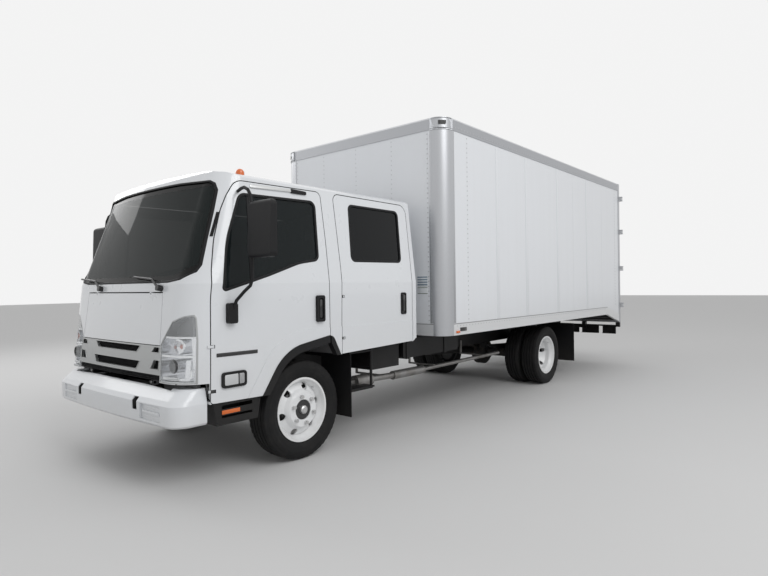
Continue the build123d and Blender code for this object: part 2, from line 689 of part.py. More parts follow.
with BuildPart() as front_bumper:
    loft([bumper_face(z, half, front, 118.0, 198.0) for z, half, front in bumper_sections], ruled=True)
    loft([bumper_face(z, half, front, 70.0, 240.0) for z, half, front in bumper_core], ruled=True, mode=Mode.SUBTRACT)
    block((-790, 790), (36, 240), (450, 730), Mode.SUBTRACT)
    block((-930, 930), (138, 240), (450, 730), Mode.SUBTRACT)
    for side in (1, -1):
        front_prism([(side * 436, 552), (side * 500, 552), (side * 500, 640), (side * 430, 640)], (-100, 60), Mode.SUBTRACT)
        front_prism([(side * 530, 496), (side * 800, 496), (side * 800, 606), (side * 545, 606)], (-100, -46), Mode.SUBTRACT)
        block(sorted((side * 560, side * 790)), (-56, -40), (540, 560))
save(front_bumper.part, "front_bumper")

# Frame: two channel rails, cross members, front brackets with the tilt pins
cross_half = rail_half_out - rail_web - seat_gap
with BuildPart() as frame_rails:
    for side in (1, -1):
        low, high = sorted((side * (rail_half_out - rail_flange), side * rail_half_out))
        web_low, web_high = sorted((side * (rail_half_out - rail_flange), side * (rail_half_out - rail_web)))
        block((low, high), (rail_front_s, rail_rear_s), (rail_top_z - rail_height, rail_top_z))
        block((web_low, web_high), (rail_front_s - 1, rail_rear_s + 1),
              (rail_top_z - rail_height + rail_web, rail_top_z - rail_web), Mode.SUBTRACT)
    for side in (1, -1):
        with BuildPart(mode=Mode.PRIVATE) as horn:
            low, high = sorted((side * 372, side * 424))
            side_prism([(-14.5, 540), (rail_front_s - seat_gap, 540), (rail_front_s - seat_gap, 700), (37, 700),
                        (37, 666), (22, 652), (-14.5, 614)], (low, high))
            block(sorted((side * 378, side * 430)), (40, rail_front_s + 1), (560, 680), Mode.SUBTRACT)
        add(horn.part)
        low, high = sorted((side * (rail_half_out + seat_gap), side * 486))
        block((low, high), (166, 240), (640, 760))
        low, high = sorted((side * 476, side * 486))
        block((low, high), (tilt_s, 200), (tilt_z - 22, tilt_z + 22))
        rod((side * 476, tilt_s, tilt_z), (side * 486, tilt_s, tilt_z), 22)
        rod((side * 484, tilt_s, tilt_z), (side * 520, tilt_s, tilt_z), tilt_pin_r)
    block((-cross_half, cross_half), (270, 330), (612, 660))
    for s in (2450, 3600, 4700, 6300, 7500):
        block((-cross_half, cross_half), (s - 30, s + 30), (690, 740))
save(frame_rails.part, "frame_rails")

# Engine and gearbox as plain masses at their real place
with BuildPart() as engine_block:
    block((-250, 250), (560, 1400), (470, 850))
    block((-170, 170), (1400, 2150), (480, 760))
save(engine_block.part, "engine_block")

# Front axle beam with raised ends
with BuildPart() as front_axle_beam:
    s0, s1 = front_axle_s - 42, front_axle_s + 42
    front_prism([
        (-560, 300), (560, 300), (640, 362), (kingpin_x, 362), (kingpin_x, 448),
        (620, 448), (540, 386), (-540, 386), (-620, 448), (-kingpin_x, 448), (-kingpin_x, 362), (-640, 362),
    ], (s0, s1))
    for side in (1, -1):
        ring((side * kingpin_x, front_axle_s, 405), (0, 0, 1), 27, 0, 92)
        ring((side * kingpin_x, front_axle_s, 405), (0, 0, 1), 17, 0, 120, Mode.SUBTRACT)
save(front_axle_beam.part, "front_axle_beam")

# Steering knuckles
for side, word in ((1, "left"), (-1, "right")):
    with BuildPart() as knuckle:
        for z0, z1 in ((310, 353.5), (456.5, 500)):
            ring((side * kingpin_x, front_axle_s, (z0 + z1) / 2), (0, 0, 1), 40, 0, z1 - z0)
            block(sorted((side * kingpin_x, side * 772)), (front_axle_s - 38, front_axle_s + 38), (z0, z1))
        block(sorted((side * 748, side * 772)), (front_axle_s - 38, front_axle_s + 38), (310, 500))
        ring((side * kingpin_x, front_axle_s, 405), (0, 0, 1), 16, 0, 180)
        rod((side * 760, front_axle_s, axle_z), (side * 900, front_axle_s, axle_z), 30)
        block(sorted((side * (kingpin_x - 14), side * (kingpin_x + 14))), (front_axle_s, front_axle_s + 190), (312, 340))
        ring((side * kingpin_x, front_axle_s + 190, 326), (0, 0, 1), 24, 0, 28)
        ring((side * kingpin_x, front_axle_s + 190, 352), (0, 0, 1), 10, 0, 40)
    save(knuckle.part, f"knuckle_{word}")

with BuildPart() as tie_rod:
    for side in (1, -1):
        ring((side * kingpin_x, front_axle_s + 190, 356), (0, 0, 1), 24, 0, 26)
    rod((-kingpin_x, front_axle_s + 190, 356), (kingpin_x, front_axle_s + 190, 356), 12)
    for side in (1, -1):
        ring((side * kingpin_x, front_axle_s + 190, 356), (0, 0, 1), 10.5, 0, 40, Mode.SUBTRACT)
save(tie_rod.part, "tie_rod")

# Rear axle housing and drive shaft
with BuildPart() as rear_axle_housing:
    rod((-616, rear_axle_s, axle_z), (616, rear_axle_s, axle_z), 66)
    rod((-890, rear_axle_s, axle_z), (890, rear_axle_s, axle_z), 40)
    turned([(-120, 0), (-120, 120), (-60, 196), (60, 196), (120, 120), (120, 0)], 0, rear_axle_s, axle_z)
    rod((0, rear_axle_s - 300, 440), (0, rear_axle_s, 420), 78)
save(rear_axle_housing.part, "rear_axle_housing")

with BuildPart() as drive_shaft:
    rod((0, 2152, 600), (0, 3610, 560), 44)
    rod((0, 3590, 560), (0, rear_axle_s - 302, 440), 44)
    block((-60, 60), (3575, 3625), (520, 689.7))
save(drive_shaft.part, "drive_shaft")

# Leaf springs with hangers below the rails
with BuildPart() as leaf_springs:
    for x in (-425, 425):
        for i, (z, half) in enumerate(((386.3, 330), (400.3, 430), (414.3, 560))):
            side_prism([
                (front_axle_s - half, z + 14 + half * 0.09), (front_axle_s, z), (front_axle_s + half, z + 14 + half * 0.09),
                (front_axle_s + half, z + 28 + half * 0.09), (front_axle_s, z + 14.2), (front_axle_s - half, z + 28 + half * 0.09),
            ], (x - 34, x + 34))
        for s in (front_axle_s - 545, front_axle_s + 545):
            block((x - 30, x + 30), (s - 28, s + 28), (470, 599.7))
        for i, (z, half) in enumerate(((469.8, 360), (485.8, 470), (501.8, 580), (517.8, 690))):
            side_prism([
                (rear_axle_s - half, z + half * 0.05), (rear_axle_s, z), (rear_axle_s + half, z + half * 0.05),
                (rear_axle_s + half, z + 16.2 + half * 0.05), (rear_axle_s, z + 16.2), (rear_axle_s - half, z + 16.2 + half * 0.05),
            ], (x - 36, x + 36))
        for s in (rear_axle_s - 670, rear_axle_s + 670):
            block((x - 30, x + 30), (s - 28, s + 28), (540, 599.7))
save(leaf_springs.part, "leaf_springs")

# Tyres
tyre_profile = [
    (-85.7, 252), (-85.7, 264), (-108, 300), (-113, 340), (-104, 388), (-84, 401), (-40, tyre_r), (40, tyre_r),
    (84, 401), (104, 388), (113, 340), (108, 300), (85.7, 264), (85.7, 252),
]
rim_profile = [
    (-93, rim_flange_r), (-86, rim_flange_r), (-86, 251.7), (-60, 244), (-30, 224), (30, 224), (60, 244),
    (86, 251.7), (86, rim_flange_r), (93, rim_flange_r), (93, 246), (64, 234), (34, 214), (-34, 214), (-64, 234), (-93, 246),
]


def tyre(x, s, side):
    with BuildPart() as form:
        turned(tyre_profile, x, s, axle_z, side)
        turned([(-79, 250), (-79, 266), (-98, 302), (-98, 384), (98, 384), (98, 302), (79, 266), (79, 250)],
               x, s, axle_z, side, Mode.SUBTRACT)
    return form.part


hand_hole_r = 29.0
hand_hole_pcd_r = 187.0
hand_hole_turn = 12.0
nut_turn = 42.0
nut_r = 15.0


def wheel_disc(profile, hole_span, x, s, side):
    """Rim with a pressed disc (offset, radius) and six hand holes cut over hole_span."""
    with BuildPart() as form:
        turned(rim_profile, x, s, axle_z, side)
        turned(profile, x, s, axle_z, side)
        for i in range(6):
            angle = math.radians(hand_hole_turn + 60 * i)
            y = s + hand_hole_pcd_r * math.cos(angle)
            z = axle_z + hand_hole_pcd_r * math.sin(angle)
            rod((x + side * hole_span[0], y, z), (x + side * hole_span[1], y, z), hand_hole_r, Mode.SUBTRACT)
    return form.part


def nuts(x, s, side, reach):
    """Six wheel nuts standing out from x by reach."""
    for i in range(6):
        angle = math.radians(nut_turn + 60 * i)
        y = s + nut_pcd_r * math.cos(angle)
        z = axle_z + nut_pcd_r * math.sin(angle)
        rod((x, y, z), (x + side * reach, y, z), nut_r)


front_disc = [(98, 82), (98, 138), (84, 152), (58, 168), (30, 212), (25, 216.5), (14, 216.5), (46, 164), (72, 146),
              (86, 132), (86, 82)]
front_hub = [(-66, 150), (-60, 165), (20, 165), (40, 138), (86, 126), (86, 78), (94, 78), (94, 36), (112, 34),
             (120, 24), (120, 0), (60, 0), (60, 31), (-66, 31)]
rear_disc = [(-117, 82), (-117, 160), (-100, 176), (-34, 212), (-29, 216.5), (-18, 216.5), (-90, 166), (-105, 152),
             (-105, 82)]
rear_hub = [(-200, 150), (-196, 190), (-40, 190), (-13, 150), (-13, 84), (60, 78), (80, 60), (80, 0), (70, 0),
            (70, 41), (-200, 41)]
for side, word in ((1, "left"), (-1, "right")):
    with BuildPart() as front_tyre:
        add(tyre(side * front_tyre_x, front_axle_s, side))
    save(front_tyre.part, f"front_tyre_{word}")
    with BuildPart() as rear_tyres:
        add(tyre(side * rear_inner_x, rear_axle_s, side))
        add(tyre(side * rear_outer_x, rear_axle_s, side))
    save(rear_tyres.part, f"rear_tyres_{word}")
    with BuildPart() as front_wheel:
        add(wheel_disc(front_disc, (-10, 110), side * front_tyre_x, front_axle_s, side))
        turned(front_hub, side * front_tyre_x, front_axle_s, axle_z, side)
        nuts(side * (front_tyre_x + 94), front_axle_s, side, 30)
    save(front_wheel.part, f"front_wheel_{word}")
    hub_x = (rear_inner_x + rear_outer_x) / 2
    with BuildPart() as rear_wheels:
        add(wheel_disc(rear_disc, (-130, 10), side * rear_outer_x, rear_axle_s, side))
        add(wheel_disc(rear_disc, (-130, 10), side * rear_inner_x, rear_axle_s, -side))
        turned(rear_hub, side * hub_x, rear_axle_s, axle_z, side)
        nuts(side * (hub_x - 10), rear_axle_s, side, 54)
    save(rear_wheels.part, f"rear_wheels_{word}")

# Fuel tank with straps, battery box, exhaust
with BuildPart() as fuel_tank:
    side_prism([(2570, 655), (3600, 655), (3600, 862), (2570, 862)], (470, 838), radius=28)
    for s in (2640, 3330):
        block((rail_half_out + seat_gap, 846), (s - 22, s + 22), (646, 870))
save(fuel_tank.part, "fuel_tank")

with BuildPart() as battery_box:
    block((-880, -440), (2080, 2700), (560, 810))
    block((-900, -rail_half_out - seat_gap), (2240, 2540), (600, 640))
    block((470, 850), (2060, 2480), (600, 812))
    block((rail_half_out + seat_gap, 480), (2200, 2260), (620, 780))
    block((rail_half_out + seat_gap, 480), (2340, 2400), (620, 780))
save(battery_box.part, "battery_box")

pipe_line = [(268, 1250, 520), (330, 1300, 512), (345, 1700, 506), (740, 1886, 500), (770, 1910, 500)]
with BuildPart() as exhaust_system:
    for start, end in zip(pipe_line, pipe_line[1:]):
        rod(start, end, 24)
    for x, s, z in pipe_line[1:-1]:
        with Locations((x, y_at(s), z)):
            Sphere(24)
    rod((770, 1900, 500), (770, 2120, 500), 62)
    rod((770, 2110, 500), (770, 2500, 490), 30)
    rod((770, 2470, 490), (770, 2990, 490), 44)
    rod((770, 2980, 490), (770, 4680, 505), 22)
    for s in (2300, 3200, 4300):
        block((rail_half_out + seat_gap, 780), (s - 12, s + 12), (504, 520))
        block((rail_half_out + seat_gap, rail_half_out + 16), (s - 12, s + 12), (504, 680))
save(exhaust_system.part, "exhaust_system")

# Crew step frames below the rear cab doors
with BuildPart() as crew_steps:
    for side in (1, -1):
        for s in (1652, 1940):
            rod((side * 950, s, 470), (side * 950, s, 812), 13)
            rod((side * 425.3, s, 640), (side * 950, s, 640), 13)
        rod((side * 950, 1639, 812), (side * 950, 1953, 812), 13)
        rod((side * 950, 1639, 470), (side * 950, 1953, 470), 13)
        block(sorted((side * 850, side * 985)), (1642, 1950), (474, 488))
save(crew_steps.part, "crew_steps")

# Mud flaps on brackets
with BuildPart() as mud_flaps:
    for side in (1, -1):
        block(sorted((side * 640, side * 1010)), (1604, 1612), (256, 806))
        block(sorted((side * 425.3, side * 900)), (1612, 1630), (770, 796))
        block(sorted((side * 440, side * 1052)), (6566, 6574), (208, 790))
        block(sorted((side * 425.3, side * 1000)), (6574, 6596), (750, 790))
save(mud_flaps.part, "mud_flaps")

# Rear underride guard: deep plate with two slots, on hangers
guard_low_z = 512.0
guard_high_z = 668.0
with BuildPart() as underride_guard:
    block((-1153, 1153), (8196, 8236), (guard_low_z, guard_high_z))
    block((-1140, 1140), (8190, 8229), (guard_low_z + 8, guard_high_z - 8), Mode.SUBTRACT)
    for side in (1, -1):
        block(sorted((side * 857, side * 920)), (8180, 8240), (guard_low_z - 1, 640), Mode.SUBTRACT)
        block(sorted((side * 500, side * 550)), (8180, 8240), (guard_low_z - 1, 600), Mode.SUBTRACT)
        block(sorted((side * 578, side * 640)), (8150, 8229.5), (600, 715.7))
        block(sorted((side * 1152, side * 1219)), (8216, 8262), (633, 715.7))
save(underride_guard.part, "underride_guard")


# Box floor: sills, cross members and deck with the sloping tail
def tail(points):
    """Follow the dovetail: corners behind the bend drop with the slope."""
    slope = tail_drop / (box_rear_s - tail_bend_s)
    return [(s, z - max(0.0, s - tail_bend_s) * slope) for s, z in points]


deck_half = 1180.0
with BuildPart() as box_floor:
    for side in (1, -1):
        block(sorted((side * 365, side * 425)), (box_front_s + 40, 7560), (rail_top_z + seat_gap, 890))
    for i in range(12):
        s = box_front_s + 60 + i * 430
        block((-deck_half, deck_half), (s - 22, s + 22), (884, 962))
    deck = [(box_front_s + 26, 960), (tail_bend_s, 960), (8200, 960), (8200, 1000), (tail_bend_s, 1000), (box_front_s + 26, 1000)]
    side_prism(tail(deck), (-deck_half, deck_half))
    for side in (1, -1):
        low, high = sorted((side * (box_half - post_r - 4), side * 1300))
        block((low, high), (box_front_s, box_front_s + post_r + 2), (850, 1010), Mode.SUBTRACT)
    for s in (7700, 7900, 8100):
        side_prism(tail([(s - 22, 884), (s + 22, 884), (s + 22, 962), (s - 22, 962)]), (-deck_half, deck_half))
save(box_floor.part, "box_floor")

# Rails along the bottom and top of the box sides
rail_in = deck_half + seat_gap
with BuildPart() as box_rails:
    for side in (1, -1):
        low, high = sorted((side * rail_in, side * box_half))
        low_rail = [
            (box_front_s + post_r, box_bottom_z), (tail_bend_s, box_bottom_z), (8199.7, box_bottom_z),
            (8199.7, box_side_rail_top), (tail_bend_s, box_side_rail_top), (box_front_s + post_r, box_side_rail_top),
        ]
        side_prism(tail(low_rail), (low, high))
        block((low, high), (box_front_s + post_r, 8199.7), (box_top_rail_z, box_top_z - 14))
    block((-(box_half - post_r), box_half - post_r), (box_front_s, box_front_s + 26), (box_top_rail_z, box_top_z - 14))
    block((-(box_half - post_r), box_half - post_r), (box_front_s, box_front_s + 26 - seat_gap), (box_bottom_z, box_side_rail_top))
save(box_rails.part, "box_rails")

# Box walls between rails and posts
with BuildPart() as box_walls:
    for side in (1, -1):
        low, high = sorted((side * (box_half - 5 - panel_t), side * (box_half - 5)))
        wall_line = [
            (box_front_s + post_r + seat_gap, box_side_rail_top + seat_gap), (tail_bend_s, box_side_rail_top + seat_gap),
            (8200 - seat_gap, box_side_rail_top + seat_gap),
        ]
        top = box_top_rail_z - seat_gap
        side_prism(tail(wall_line) + [(8200 - seat_gap, top), (box_front_s + post_r + seat_gap, top)], (low, high))
    half = box_half - post_r - seat_gap
    block((-half, half), (box_front_s + 5, box_front_s + 25), (box_side_rail_top + seat_gap, box_top_rail_z - seat_gap))
save(box_walls.part, "box_walls")

# Rounded front corner posts with cast caps
with BuildPart() as box_corner_posts:
    for side in (1, -1):
        cx = side * (box_half - post_r)
        cs = box_front_s + post_r
        with BuildPart(mode=Mode.PRIVATE) as post:
            ring((cx, cs, (box_bottom_z + box_top_z) / 2), (0, 0, 1), post_r, post_r - 7, box_top_z - box_bottom_z)
            ring((cx, cs, box_top_z - 20), (0, 0, 1), post_r, 0, 40)
            low, high = sorted((cx, side * 1400))
            block((low, high), (box_front_s - 10, cs), (800, 3200), Mode.INTERSECT)
        add(post.part)
save(box_corner_posts.part, "box_corner_posts")

# Roof sheet with bows
with BuildPart() as box_roof:
    half = box_half - post_r - seat_gap
    block((-box_half + 4, box_half - 4), (box_front_s + post_r + seat_gap, 8200 - seat_gap), (box_top_z - 13.7, box_top_z))
    block((-half, half), (box_front_s + 2, box_front_s + post_r + 10), (box_top_z - 13.7, box_top_z))
    for i in range(8):
        s = box_front_s + 400 + i * 610
        block((-rail_in + 2, rail_in - 2), (s - 15, s + 15), (3085, box_top_z - 13))
save(box_roof.part, "box_roof")

# Rear frame with fixed hinge plates and pins
leaf_low_z = 848.0
leaf_high_z = 2982.0
leaf_edge_x = 1128.0
leaf_t = 40.0
pivot_x = box_half + 30.0
pivot_s = box_rear_s + cargo_pivot_out
hinge_z = [1020.0, 1660.0, 2300.0, 2880.0]
with BuildPart() as rear_door_frame:
    for side in (1, -1):
        block(sorted((side * 1134, side * box_half)), (8200, box_rear_s), (box_bottom_z - tail_drop, box_top_z))
        for z in hinge_z:
            for dz in (-33, 33):
                block(sorted((side * 1160, side * (pivot_x + cargo_barrel_r))), (box_rear_s - 1, pivot_s + cargo_barrel_r),
                      (z + dz - 6, z + dz + 6))
            rod((side * pivot_x, pivot_s, z - 39), (side * pivot_x, pivot_s, z + 39), 7)
    block((-1140, 1140), (8200, box_rear_s), (leaf_high_z + 8, box_top_z))
    block((-1140, 1140), (8201, box_rear_s), (box_bottom_z - tail_drop, leaf_low_z - 8))
    block((-1140, 1140), (8200.3, 8226), (leaf_low_z - 12, leaf_low_z + 8))
save(rear_door_frame.part, "rear_door_frame")

for side, word in ((1, "left"), (-1, "right")):
    with BuildPart() as leaf:
        block(sorted((side * 5, side * leaf_edge_x)), (box_rear_s - leaf_t, box_rear_s), (leaf_low_z, leaf_high_z))
        for z in hinge_z:
            block(sorted((side * 930, side * (pivot_x + 11))), (box_rear_s + 1, box_rear_s + 9), (z - 24, z + 24))
            block(sorted((side * 930, side * 1110)), (box_rear_s - 1, box_rear_s + 2), (z - 24, z + 24))
            block(sorted((side * (pivot_x - 9), side * (pivot_x + 11))), (box_rear_s + 8, pivot_s), (z - 24, z + 24))
            ring((side * pivot_x, pivot_s, z), (0, 0, 1), cargo_barrel_r, 0, 48)
            ring((side * pivot_x, pivot_s, z), (0, 0, 1), 7.5, 0, 60, Mode.SUBTRACT)
        x = side * 330
        rod((x, box_rear_s + 22, leaf_low_z + 10), (x, box_rear_s + 22, leaf_high_z - 10), 12)
        for z in (1000, 1500, 2100, 2800):
            block(sorted((x - 30, x + 30)), (box_rear_s - 1, box_rear_s + 24), (z - 20, z + 20))
        block(sorted((x - side * 12, x + side * 260)), (box_rear_s + 16, box_rear_s + 30), (1440, 1466))
    save(leaf.part, f"cargo_door_{word}")

# Tail lamps on the rear sill
with BuildPart() as tail_lamps:
    for side in (1, -1):
        for x, r in ((1080, 50), (950, 50), (820, 50)):
            rod((side * x, box_rear_s + seat_gap, 778), (side * x, box_rear_s + 12, 778), r)
    for x in (-150, 0, 150):
        rod((x, box_rear_s + seat_gap, 3060), (x, box_rear_s + 14, 3060), 24)
save(tail_lamps.part, "tail_lamps")
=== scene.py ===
import math

import bmesh
import bpy
from mathutils import Matrix, Vector


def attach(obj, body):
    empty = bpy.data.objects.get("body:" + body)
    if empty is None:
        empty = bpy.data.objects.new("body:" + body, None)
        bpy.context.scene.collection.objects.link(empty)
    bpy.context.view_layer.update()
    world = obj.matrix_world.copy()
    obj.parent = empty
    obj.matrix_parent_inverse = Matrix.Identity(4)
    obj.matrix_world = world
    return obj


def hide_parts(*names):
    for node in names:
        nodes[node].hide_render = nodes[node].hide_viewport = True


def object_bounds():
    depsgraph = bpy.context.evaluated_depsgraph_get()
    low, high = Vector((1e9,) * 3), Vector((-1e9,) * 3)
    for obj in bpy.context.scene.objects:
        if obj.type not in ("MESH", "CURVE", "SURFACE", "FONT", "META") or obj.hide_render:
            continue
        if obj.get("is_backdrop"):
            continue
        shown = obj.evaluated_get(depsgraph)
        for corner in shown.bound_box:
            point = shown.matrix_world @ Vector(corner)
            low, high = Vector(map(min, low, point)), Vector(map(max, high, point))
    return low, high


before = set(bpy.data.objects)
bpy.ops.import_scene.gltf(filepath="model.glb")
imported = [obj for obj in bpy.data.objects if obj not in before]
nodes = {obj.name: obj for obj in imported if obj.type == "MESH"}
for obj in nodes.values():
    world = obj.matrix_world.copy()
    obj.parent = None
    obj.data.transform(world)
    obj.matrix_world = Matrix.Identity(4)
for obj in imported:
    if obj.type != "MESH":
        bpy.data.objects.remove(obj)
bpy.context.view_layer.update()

# Cab body: pressed steel panels welded to one shell, with the service lid and
# the doors hung on it, sprayed in one solid white under a clear coat. Inside,
# the pressings are covered with grey moulded lining.


class Wire:
    """A socket of a shader tree that takes part in sums."""

    def __init__(self, finish, socket):
        self.finish = finish
        self.socket = socket

    def maths(self, operation, other=None, third=None, swap=False):
        pair = [other, self] if swap else [self, other]
        values = {i: v for i, v in enumerate(pair + [third]) if v is not None}
        return self.finish.node("ShaderNodeMath", {"operation": operation}, values)

    def __add__(self, other):
        return self.maths("ADD", other)

    def __radd__(self, other):
        return self.maths("ADD", other)

    def __sub__(self, other):
        return self.maths("SUBTRACT", other)

    def __rsub__(self, other):
        return self.maths("SUBTRACT", other, swap=True)

    def __mul__(self, other):
        return self.maths("MULTIPLY", other)

    def __rmul__(self, other):
        return self.maths("MULTIPLY", other)

    def __truediv__(self, other):
        return self.maths("DIVIDE", other)

    def __pow__(self, other):
        return self.maths("POWER", other)

    def __gt__(self, other):
        return self.maths("GREATER_THAN", other)

    def __lt__(self, other):
        return self.maths("LESS_THAN", other)

    def least(self, other):
        return self.maths("MINIMUM", other)

    def most(self, other):
        return self.maths("MAXIMUM", other)

    def fraction(self):
        return self.maths("FRACT")

    def size(self):
        return self.maths("ABSOLUTE")

    def clamped(self):
        return self.maths("MAXIMUM", 0.0).maths("MINIMUM", 1.0)


class Finish:
    """A material whose one shader takes plain values or wires by socket name.

    The slot is stored on the finish and not used."""

    def __init__(self, name, colour, roughness, slot=None, **sockets):
        self.slot = slot
        self.material = bpy.data.materials.new(name)
        self.material.use_nodes = True
        self.material.diffuse_color = (*colour, 1.0)
        self.tree = self.material.node_tree
        self.shader = self.tree.nodes["Principled BSDF"]
        self.feed(Base_Color=(*colour, 1.0), Roughness=roughness, **sockets)

    def feed(self, **sockets):
        for name, value in sockets.items():
            self.join(value, self.shader.inputs[name.replace("_", " ")])

    def join(self, value, target):
        if isinstance(value, Wire):
            self.tree.links.new(value.socket, target)
        else:
            target.default_value = value

    def node(self, kind, settings=None, inputs=None, out=0):
        made = self.tree.nodes.new(kind)
        for name, value in (settings or {}).items():
            if name == "stops":
                ramp = made.color_ramp
                while len(ramp.elements) < len(value):
                    ramp.elements.new(0.5)
                for element, (place, tone) in zip(ramp.elements, value):
                    element.position = place
                    element.color = (*tone, 1.0)
            else:
                setattr(made, name, value)
        for name, value in (inputs or {}).items():
            self.join(value, made.inputs[name])
        return Wire(self, made.outputs[out])

    def place(self):
        """The point's place on the vehicle as three wires, in metres."""
        point = self.node("ShaderNodeTexCoord", out="Object")
        return [self.node("ShaderNodeSeparateXYZ", inputs={0: point}, out=i) for i in range(3)]

    def noise(self, scale, detail=2.0, roughness=0.5, stretch=(1.0, 1.0, 1.0)):
        point = self.node("ShaderNodeTexCoord", out="Object")
        if stretch != (1.0, 1.0, 1.0):
            point = self.node("ShaderNodeMapping", inputs={"Vector": point, "Scale": stretch})
        return self.node("ShaderNodeTexNoise", inputs={
            "Vector": point, "Scale": scale, "Detail": detail, "Roughness": roughness})

    def between(self, low, high, factor):
        """A colour from low to high as factor goes from 0 to 1."""
        low = low if isinstance(low, Wire) else (*low, 1.0)
        high = high if isinstance(high, Wire) else (*high, 1.0)
        return self.node("ShaderNodeMix", {"data_type": "RGBA"}, {0: factor, 6: low, 7: high}, out=2)

    def bump(self, height, distance, strength=1.0):
        self.feed(Normal=self.node("ShaderNodeBump", inputs={
            "Height": height, "Distance": distance, "Strength": strength}))


def dress(finish, *names):
    for name in names:
        for slot in nodes[name].material_slots:
            slot.material = finish.material


mid_station = 4125.0
cab_sections = [
    # height, half width, front station, crown of the front, corner radius
    (560.0, 1010.0, -20.0, 16.0, 262.0),
    (1440.0, 1012.0, 78.0, 16.0, 262.0),
    (2330.0, 909.7, 336.0, 66.0, 214.0),
]


def spot(x, station, z):
    """A point from millimetres: to the left, back from the front, up."""
    return Vector((x, station - mid_station, z)) / 1000.0


def cab_plan(z):
    """Half width, front station, crown and corner radius of the cab at a height."""
    lower, upper = cab_sections[:2] if z < cab_sections[1][0] else cab_sections[1:]
    share = (z - lower[0]) / (upper[0] - lower[0])
    return [a + (b - a) * share for a, b in zip(lower[1:], upper[1:])]


def on_front(x, z, out):
    """A point out from the cab's front skin, over the place x, z seen from the front."""
    half, front, crown, radius = cab_plan(z)
    flat = half - radius
    if abs(x) > flat:
        reach = min(abs(x) - flat, radius)
        return spot(x, front + crown + radius - math.sqrt(radius ** 2 - reach ** 2) - out, z)
    bow = (flat ** 2 + crown ** 2) / (2 * crown)
    return spot(x, front + bow - math.sqrt(bow ** 2 - x ** 2) - out, z)


def on_cab_side(side):
    """A function for points out from the cab's side skin at a station and height."""

    def place(station, z, out):
        half, front, crown, radius = cab_plan(z)
        back = front + crown + radius - station
        bulge = math.sqrt(max(radius ** 2 - back ** 2, 0.0)) if back > 0 else radius
        return spot(side * (half - radius + bulge + out), station, z)

    return place


cab_white = Finish("cab_white", (0.71, 0.73, 0.755), 0.3, Coat_Weight=0.7, Coat_Roughness=0.05)
x, y, z = cab_white.place()
half_width = (1.010 + (z - 0.56) * 0.0023).least(1.012 - (z - 1.44) * 0.115)
front_edge = ((-4.145 + (z - 0.56) * 0.1114).most(-4.047 + (z - 1.44) * 0.29)
              + 0.016 + (z - 1.44).most(0.0) * 0.056)
corner = (0.262 - (z - 1.44) * 0.054).least(0.262)
aside = (x.size() - half_width + corner).most(0.0)
ahead = (front_edge + corner - y).most(0.0)
reach = (aside * aside + ahead * ahead) ** 0.5
inner = reach < corner - 0.034
# Faces 3.5 mm or more inside the skin round the doors are painted near black as painted shade in the door
# gaps.
jamb_shade = (reach < corner - 0.0035) * (y > -3.93) * (y < -1.6) * (z > 0.62) * (z < 2.22)
lining = inner * (y < -1.6) * (z < 2.3 - x * x * 0.0853) * (z > 0.66)
# Faces well inside the skin behind the lower front are painted near black as painted shade.
front_recess_shade = (z < 0.775) * (y > -4.125) * (y < -3.85) * (x.size() < 0.86) * (front_edge + 0.02 < y)
dust = cab_white.noise(3.0, 5.0, 0.6) * (1.3 - z).clamped() * 0.5
paint = cab_white.between((0.71, 0.73, 0.755), (0.55, 0.54, 0.52), dust)
# Painted shade: the door gaps and the recess behind the lower front go near black.
paint = cab_white.between(paint, (0.02, 0.02, 0.02), front_recess_shade.most(jamb_shade))
cab_white.feed(
    Base_Color=cab_white.between(paint, (0.16, 0.16, 0.165), lining),
    Roughness=0.24 + cab_white.noise(11.0) * 0.1 + lining * 0.5 + dust * 0.4,
    Coat_Weight=0.8 * (1.0 - lining),
)
cab_white.bump(cab_white.noise(160.0, 3.0) * (0.15 + lining), 0.0006, 0.35)
dress(cab_white, "cab_shell", "front_panel", "front_door_left", "front_door_right", "crew_door_left",
      "crew_door_right")

# Windscreen and rear pane: laminated grey-green glass bonded into the shell,
# with a black ceramic border fired on round the edge to hide the adhesive.

windscreen_glass = Finish("windscreen_glass", (0.012, 0.017, 0.017), 0.02, Alpha=0.72,
                          Specular_IOR_Level=0.18)
x, y, z = windscreen_glass.place()
side_edge = (0.921 - (z - 1.569) * 0.1097) - x.size()
low_edge = z - 1.449 - ((x.size() - 0.70).most(0.0) * 0.40)
border = (side_edge < 0.034).most(low_edge < 0.05).most(z > 2.158)
rear_border = (x.size() > 0.605).most(z < 1.635).most(z > 2.055)
is_front = y < -3.0
ceramic = border * is_front + rear_border * (1.0 - is_front)
windscreen_glass.feed(
    Base_Color=windscreen_glass.between((0.012, 0.017, 0.017), (0.006, 0.006, 0.006), ceramic),
    Alpha=0.72 + ceramic * 0.28,
    Roughness=0.02 + ceramic * 0.06,
)
dress(windscreen_glass, "cab_glass")

# Rubber seal round the windscreen: one black extruded strip pressed over the
# edge of the opening, standing a few millimetres proud of the paint.


def rounded(corners):
    """Points round a closed outline whose corners are (u, v) or (u, v, radius)."""
    points = []
    for i, corner in enumerate(corners):
        place = Vector(corner[:2])
        if len(corner) == 2:
            points.append(place)
            continue
        back = (Vector(corners[i - 1][:2]) - place).normalized()
        ahead = (Vector(corners[(i + 1) % len(corners)][:2]) - place).normalized()
        half = back.angle(ahead) / 2
        run = corner[2] / math.tan(half)
        centre = place + (back + ahead).normalized() * (corner[2] / math.sin(half))
        first, last = place + back * run - centre, place + ahead * run - centre
        steps = max(2, int((math.pi - 2 * half) / 0.3) + 1)
        for k in range(steps + 1):
            arm = first.slerp(last, k / steps)
            points.append(centre + arm.normalized() * corner[2])
    return points


def divided(points, longest):
    """The same closed outline with no run longer than the given length."""
    finer = []
    for start, end in zip(points, points[1:] + points[:1]):
        steps = max(1, math.ceil((end - start).length / longest))
        finer += [start.lerp(end, k / steps) for k in range(steps)]
    return finer


